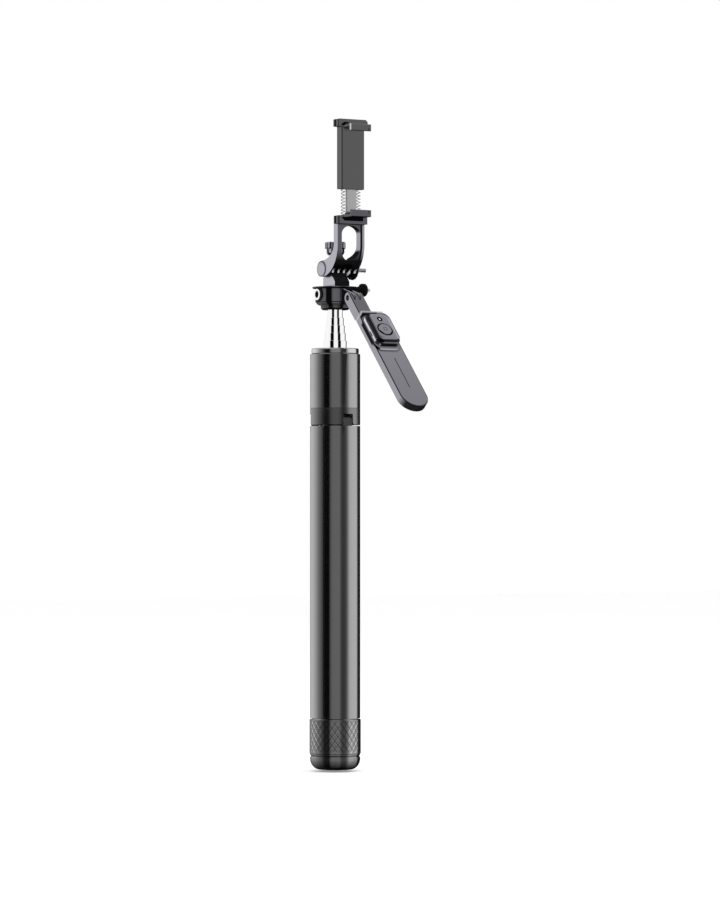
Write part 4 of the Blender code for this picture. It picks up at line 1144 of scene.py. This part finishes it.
def clamp_springs(look):
    for k, x in enumerate((-8.2, 8.2)):
        name = f"clamp_spring_{k + 1}"
        start, end = low(name).z + 0.4, high(name).z - 0.4
        turns, per_turn = 26, 20
        count = turns * per_turn
        points = [Vector((x + 1.8 * math.cos(2 * math.pi * n / per_turn), -26.9 + 1.8 * math.sin(2 * math.pi * n / per_turn),
                          start + (end - start) * n / count)) for n in range(count + 1)]
        spring = finish(make(f"{name}_fine", tube_along(points, 0.35)), None, look, "steel", name)
        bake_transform(spring)


# ---------------------------------------------------------------- remote arm

ARM_ANGLE = 43.2
PADDLE = (-7.8, 21.0)
SHOULDER = (25.4, 28.8, 9.0)
ARM_LENGTH, ARM_HALF = 141.5, 3.7
REMOTE_MIDDLE, REMOTE_HALF = 4.4, 12.5
REMOTE_S = (31.6, 68.6)
BUTTON_S, LED_S = 53.3, 40.0


def arm_place():
    """From the arm's own axes, which are drawn as if it hung straight down from the origin, to the frame."""
    hinge = Vector(JOINTS["arm_swing"]["pos_m"])
    return Matrix.Translation(hinge) @ Matrix.Rotation(-math.radians(ARM_ANGLE), 4, "X")


def along_arm(outline, start, end):
    return prism([(p[0], -p[1], *p[2:]) for p in outline], start, end, "Y")


def arm_profile(outline, x0, x1):
    return prism([(p[0], -p[1], *p[2:]) for p in outline], x0, x1, "X")


def paddle_outline(inset, start):
    x0, x1 = PADDLE
    middle, end = (x0 + x1) / 2, (x1 - x0) / 2
    tip = arc((middle, ARM_LENGTH - end), end - inset, 0, 180, 64)
    return [(x1 - inset, start)] + tip + [(x0 + inset, start)]


def arm_body(look, ridge_look, seam_look):
    place = arm_place()
    x0, x1 = PADDLE
    root, end = 7.15, 25.8
    outline = paddle_outline(0, 33.0)[:-1] + [(x0, end, 1.5), (root - 1.0, end), (x1 - 7, end, 5.0)]
    arm = bevel(make("arm_frame_fine", along_arm(outline, -ARM_HALF, ARM_HALF), place), 0.75, 3)
    knuckle = [(n, s) for n, s in arc((0, 0), 5.0, -180, 0, 48) if n < 4.2]
    side = knuckle + [(4.2, -1.0), (4.2, end + 1.4), (0.6 - ARM_HALF, end + 1.4), (-5.0, end - 2, 1.0)]
    combine(arm, arm_profile(side, -root, root), "UNION", place)
    start, stop, front = SHOULDER
    shoulder = [(ARM_HALF - 1, start), (front, start, 1.5), (front, stop, 0.6), (ARM_HALF - 1, stop)]
    for x in (-4.4, 1.3):
        combine(arm, arm_profile(rectangle(-9, 9, -8, 6.3), x, x + 3.1), place=place)
    combine(arm, arm_profile(circle((0, 0), 2.7, 48), -9, 9), place=place)
    combine(arm, along_arm(paddle_outline(0.8, 30.3), ARM_HALF - 1.6, 8), place=place)
    combine(arm, along_arm(rectangle(0.1 - root, 1.1 - root, -3.0, start), 3.6, 6), place=place)
    bevel(arm, 0.35, 3, 40)
    finish(arm, "arm", look, "black_metal", "arm_frame")
    # the shoulder carries a painted highlight along its top edge
    ridge = make("arm_shoulder", arm_profile(shoulder, x0 + 0.2, x1 - 6), place)
    finish(bevel(ridge, 0.5, 3), "arm", ridge_look, "black_metal")
    seam = make("arm_root_seam", along_arm(rectangle(0.15 - root, 1.05 - root, -0.5, start - 0.1), 3.5, 4.15), place)
    finish(seam, "arm", seam_look, "rubber")


def arm_face(look):
    place = arm_place()
    face = make("arm_face_fine", along_arm(paddle_outline(1.1, 30.6), ARM_HALF - 1.3, ARM_HALF), place)
    middle = sum(PADDLE) / 2
    line = rounded(middle - 0.35, middle + 0.35, 81.0, 118.0, 0.3, 4)
    combine(face, along_arm(line, ARM_HALF - 0.6, ARM_HALF + 1), place=place)
    bevel(face, 0.2, 2)
    finish(face, "arm", look, "gloss_black", "arm_face")


def cradle(look, painted_contact_shadow_look, rim_look):
    place = arm_place()
    half = REMOTE_HALF + 1.2
    x0, x1 = REMOTE_MIDDLE - half, REMOTE_MIDDLE + half
    tray = make("remote_cradle_fine", along_arm(rounded(x0, x1, 29.3, 71.9, 7.5, 12), 4.5, 6.4), place)
    # painted shade: the skirt's left face is black where the remote's overhang shades the paddle's side
    skirt = rectangle(x0, PADDLE[0] - 0.3, 37.3, 63.9)
    combine(tray, along_arm(skirt, ARM_HALF - 1.5, 6.4), "UNION", place)
    combine(tray, along_arm(rounded(x0 + 0.9, x1 - 0.9, 31.3, 68.9, 6.7, 12), 5.0, 9), place=place)
    bevel(tray, 0.4, 3)
    finish(tray, "arm", look, "gloss_black", "remote_cradle")
    # painted shadow: a flat black foot under the tray stands in for the contact shade on the paddle
    foot = along_arm(rounded(x0 + 0.5, x1 - 0.5, 29.8, 71.6, 7.0, 12), ARM_HALF + 0.1, 4.5)
    finish(make("remote_cradle_foot", foot, place), "arm", painted_contact_shadow_look, "rubber")
    # the rim carries a painted highlight, a thin light edge around the remote
    right, start, reach = REMOTE_MIDDLE + REMOTE_HALF + 1.4, SHOULDER[1] + 0.1, 10.9
    rim = make("remote_cradle_rim", along_arm(rounded(x0, right, start, 71.0, 8.0, 12), 4.0, reach), place)
    combine(rim, along_arm(rounded(x0, right - 1.1, start + 1.1, 72.0, 7.0, 12), 3.0, reach + 2), place=place)
    combine(rim, along_arm(rectangle(x0 - 5, REMOTE_MIDDLE + 2.0, 0, 100), 3.0, reach + 2), place=place)
    combine(rim, along_arm(rectangle(x0 - 5, right + 5, 61.0, 100), 3.0, reach + 2), place=place)
    finish(bevel(rim, 0.3, 2), "arm", rim_look, "gloss_black")


def remote_outline(inset):
    half = REMOTE_HALF - inset
    low_s, high_s = REMOTE_S
    return rounded(REMOTE_MIDDLE - half, REMOTE_MIDDLE + half, low_s + inset, high_s - inset, 6.4 - inset, 12)


def loft(layers):
    """A solid through outlines of equal length, drawn as (x, distance from the hinge) at rising heights."""
    bm = bmesh.new()
    rings = [[bm.verts.new((x, -n, -s)) for x, s in outline] for outline, n in layers]
    bm.faces.new(rings[0])
    bm.faces.new(rings[-1][::-1])
    for one, two in zip(rings, rings[1:]):
        for k in range(len(one)):
            after = (k + 1) % len(one)
            bm.faces.new([one[k], one[after], two[after], two[k]])
    return bm


def remote(look, back_look, dark_look, metal, board_look, window_look):
    place = arm_place()
    spot, window_spot = (REMOTE_MIDDLE, BUTTON_S), (REMOTE_MIDDLE, LED_S)
    edges = [(0.5, 4.9), (0.1, 5.2), (0.0, 5.6), (0.0, 9.0), (0.15, 9.4), (0.5, 9.6)]
    back = make("remote_back_fine", loft([(remote_outline(inset), n) for inset, n in edges]), place)
    combine(back, along_arm(remote_outline(1.4), 6.1, 14), place=place)
    left = REMOTE_MIDDLE - REMOTE_HALF
    combine(back, arm_profile(rounded(6.6, 7.8, 51.0, 57.0, 0.5, 4), left - 1, left + 0.7), place=place)
    finish(back, "remote", back_look, "gloss_black", "remote_back")
    port = bevel(make("remote_port", arm_profile(rounded(6.7, 7.7, 51.1, 56.9, 0.45, 4), left + 0.2, left + 0.9), place), 0.1, 1)
    finish(port, "remote", dark_look, "rubber")
    edges = [(0.4, 9.9), (0.1, 10.1), (0.0, 10.3), (0.1, 10.6), (2.1, 12.3), (2.4, 12.5), (2.8, 12.6)]
    front = make("remote_front_fine", loft([(remote_outline(inset), n) for inset, n in edges]), place)
    combine(front, along_arm(remote_outline(2.9), 7, 11.3), place=place)
    combine(front, along_arm(circle(spot, 7.7, 96), 7, 16), place=place)
    combine(front, along_arm(circle(window_spot, 2.3, 48), 7, 16), place=place)
    finish(front, "remote", look, "gloss_black", "remote_front")
    for name, centre, inner, outer in (("button_seal", spot, 6.25, 7.75), ("led_bezel", window_spot, 1.15, 2.75)):
        seal = make(name, along_arm(circle(centre, outer, 96), 11.9, 12.72), place)
        combine(seal, along_arm(circle(centre, inner, 96), 9, 14), place=place)
        finish(seal, "remote", dark_look, "rubber")
    button = make("remote_button_fine", along_arm(circle(spot, 6.2, 96), 10.0, 13.3), place)
    combine(button, camera_sign(13.0), place=place)
    bevel(button, 0.3, 3)
    finish(button, "shutter_button", look, "satin_black", "remote_button")
    cell = bevel(make("remote_cell_fine", along_arm(circle(spot, 8.0, 64), 6.4, 7.8), place), 0.25, 3)
    finish(cell, "remote", metal, "steel", "remote_cell")
    board = bevel(make("remote_board_fine", along_arm(remote_outline(1.8), 8.1, 9.0), place), 0.1, 1)
    finish(board, "remote", board_look, "board_green", "remote_board")
    window = bevel(make("led_window_fine", along_arm(circle(window_spot, 1.1, 32), 9.3, 12.66), place), 0.3, 3)
    finish(window, "remote", window_look, "clear_plastic", "led_window")


def camera_sign(depth):
    """A generic ring pressed into the button."""
    ring = along_arm(circle((REMOTE_MIDDLE, BUTTON_S), 2.2, 48), depth, depth + 2)
    core_bm = along_arm(circle((REMOTE_MIDDLE, BUTTON_S), 1.5, 48), depth - 1, depth + 3)
    shell = make("sign_ring", ring)
    combine(shell, core_bm)
    bm = bmesh.new()
    bm.from_mesh(shell.data)
    bmesh.ops.scale(bm, verts=bm.verts, vec=(1000, 1000, 1000))
    bpy.data.objects.remove(shell, do_unlink=True)
    return bm


def board_material():
    mat, tree, shader = principled("solder_mask")
    tree.links.new(tinted(tree, noise(tree, 900.0, 1.0), (0.01, 0.08, 0.03), (0.02, 0.16, 0.06)), shader.inputs["Base Color"])
    shader.inputs["Roughness"].default_value = 0.3
    bump(tree, shader, noise(tree, 2500.0, 1.0), 0.3)
    return mat


def window_material():
    mat, tree, shader = principled("clear_window")
    tree.links.new(tinted(tree, noise(tree, 1500.0, 1.0), (0.75, 0.76, 0.78), (0.9, 0.9, 0.92)), shader.inputs["Base Color"])
    shader.inputs["Roughness"].default_value = 0.08
    shader.inputs["Transmission Weight"].default_value = 0.3
    return mat


def main():
    tube = coated("tube_coating", (0.43, 0.43, 0.435), 0.07)
    band = coated("band_coating", (0.26, 0.26, 0.265), 0.2, 0.08)
    collar = coated("collar_coating", (0.72, 0.72, 0.73), 0.05)
    # the black looks below glow with painted light: reflections, highlights and shade
    knurl = black_with_painted_light("knurl_coating", [(d, 0.44 * level + 0.008) for d, level in TUBE_STRIPS], KNURL_LEAN,
                         reflect=True, blue=1.0, knurled=True)
    hub = black_with_painted_light("hub_coating", HUB_STRIPS, ROUND_LEAN, places=[("Y", HUB_FORWARD)], reflect=True)
    block = black_with_painted_light("neck_coating", NECK_SIDES, FLAT_LEAN)
    bracket = black_with_painted_light("yoke_coating", YOKE_SIDES, YOKE_LEAN, places=[("X", YOKE_ACROSS)])
    dark = black_with_painted_light("knob_coating", KNOB_SIDES, FLAT_LEAN)
    finger = black_with_painted_light("finger_coating", FINGER_SIDES, FINGER_LEAN)
    pin_end = black_with_painted_light("pin_end_painted_glow", [(-180, 0.09), (180, 0.09)])
    grip = black_with_painted_light("grip_coating", GRIP_STRIPS, ROUND_LEAN, reflect=True)
    gloss = black_with_painted_light("clamp_coating", CLAMP_SIDES, FLAT_LEAN)
    jaw_look = black_with_painted_light("jaw_coating", CLAMP_SIDES, FLAT_LEAN, blue=1.0)
    lip_end = black_with_painted_light("lip_end_coating", LIP_END_SIDES, FLAT_LEAN, blue=1.0)
    arm = black_with_painted_light("arm_coating", ARM_SIDES, ARM_LEAN, tilt=ARM_ANGLE)
    face = black_with_painted_light("face_coating", PLATE_SIDES, ARM_LEAN, ARM_ANGLE, [("Z", PLATE_ALONG)])
    ridge = black_with_painted_light("shoulder_coating", SHOULDER_SIDES, ARM_LEAN, tilt=ARM_ANGLE)
    liner = shadow_liner()
    # the same remote look twice: the front's end faces get a painted highlight, the back shell's painted shade
    shell = black_with_painted_light("remote_coating", REMOTE_SIDES, REMOTE_LEAN, tilt=ARM_ANGLE, ends=0.4)
    lower_shell = black_with_painted_light("remote_back_coating", REMOTE_SIDES, REMOTE_LEAN, tilt=ARM_ANGLE, ends=0.005)
    tray = black_with_painted_light("cradle_coating", CRADLE_SIDES, REMOTE_LEAN, tilt=ARM_ANGLE, ends=0.4)
    bright = black_with_painted_light("socket_painted_highlight", [(-180, 1.0), (180, 1.0)], places=[("X", SOCKET_DEPTH)], blue=1.0)
    rim_look = black_with_painted_light("cradle_rim_coating", RIM_SIDES, REMOTE_LEAN, tilt=ARM_ANGLE, ends=0.4)
    painted_highlight_look = black_with_painted_light("rib_painted_highlight", [(-180, 0.5), (180, 0.5)])
    satin = moulded("satin_moulding", (0.03, 0.03, 0.032))
    pad = rubber("rubber")
    metal = steel("machined_steel", stretch=(30, 1, 1))
    # the pole's reflection is painted as a glow
    chrome = pole_with_painted_reflection("pole_with_painted_reflection")
    knurled_base(knurl)
    foot_pad(pad)
    core(tube, collar)
    crown(band, satin, tube)
    leg_pins(metal)
    legs(tube, satin, pad)
    pole(chrome, satin)
    head_base(hub, finger, bright, liner)
    hinge_pin_centre(pin_end)
    side_knob(dark, painted_highlight_look)
    neck(block)
    yoke(bracket, bracket, painted_highlight_look)
    tilt_knob(dark, metal)
    top_knob(grip)
    clamp_base(gloss, metal, pad, liner)
    upper_jaw(jaw_look, pad, liner, lip_end)
    clamp_springs(metal)
    arm_body(arm, ridge, liner)
    arm_face(face)
    cradle(tray, liner, rim_look)
    remote(shell, lower_shell, liner, metal, board_material(), window_material())
    build_world()
    build_floor()
    build_lights()
    build_camera()


main()
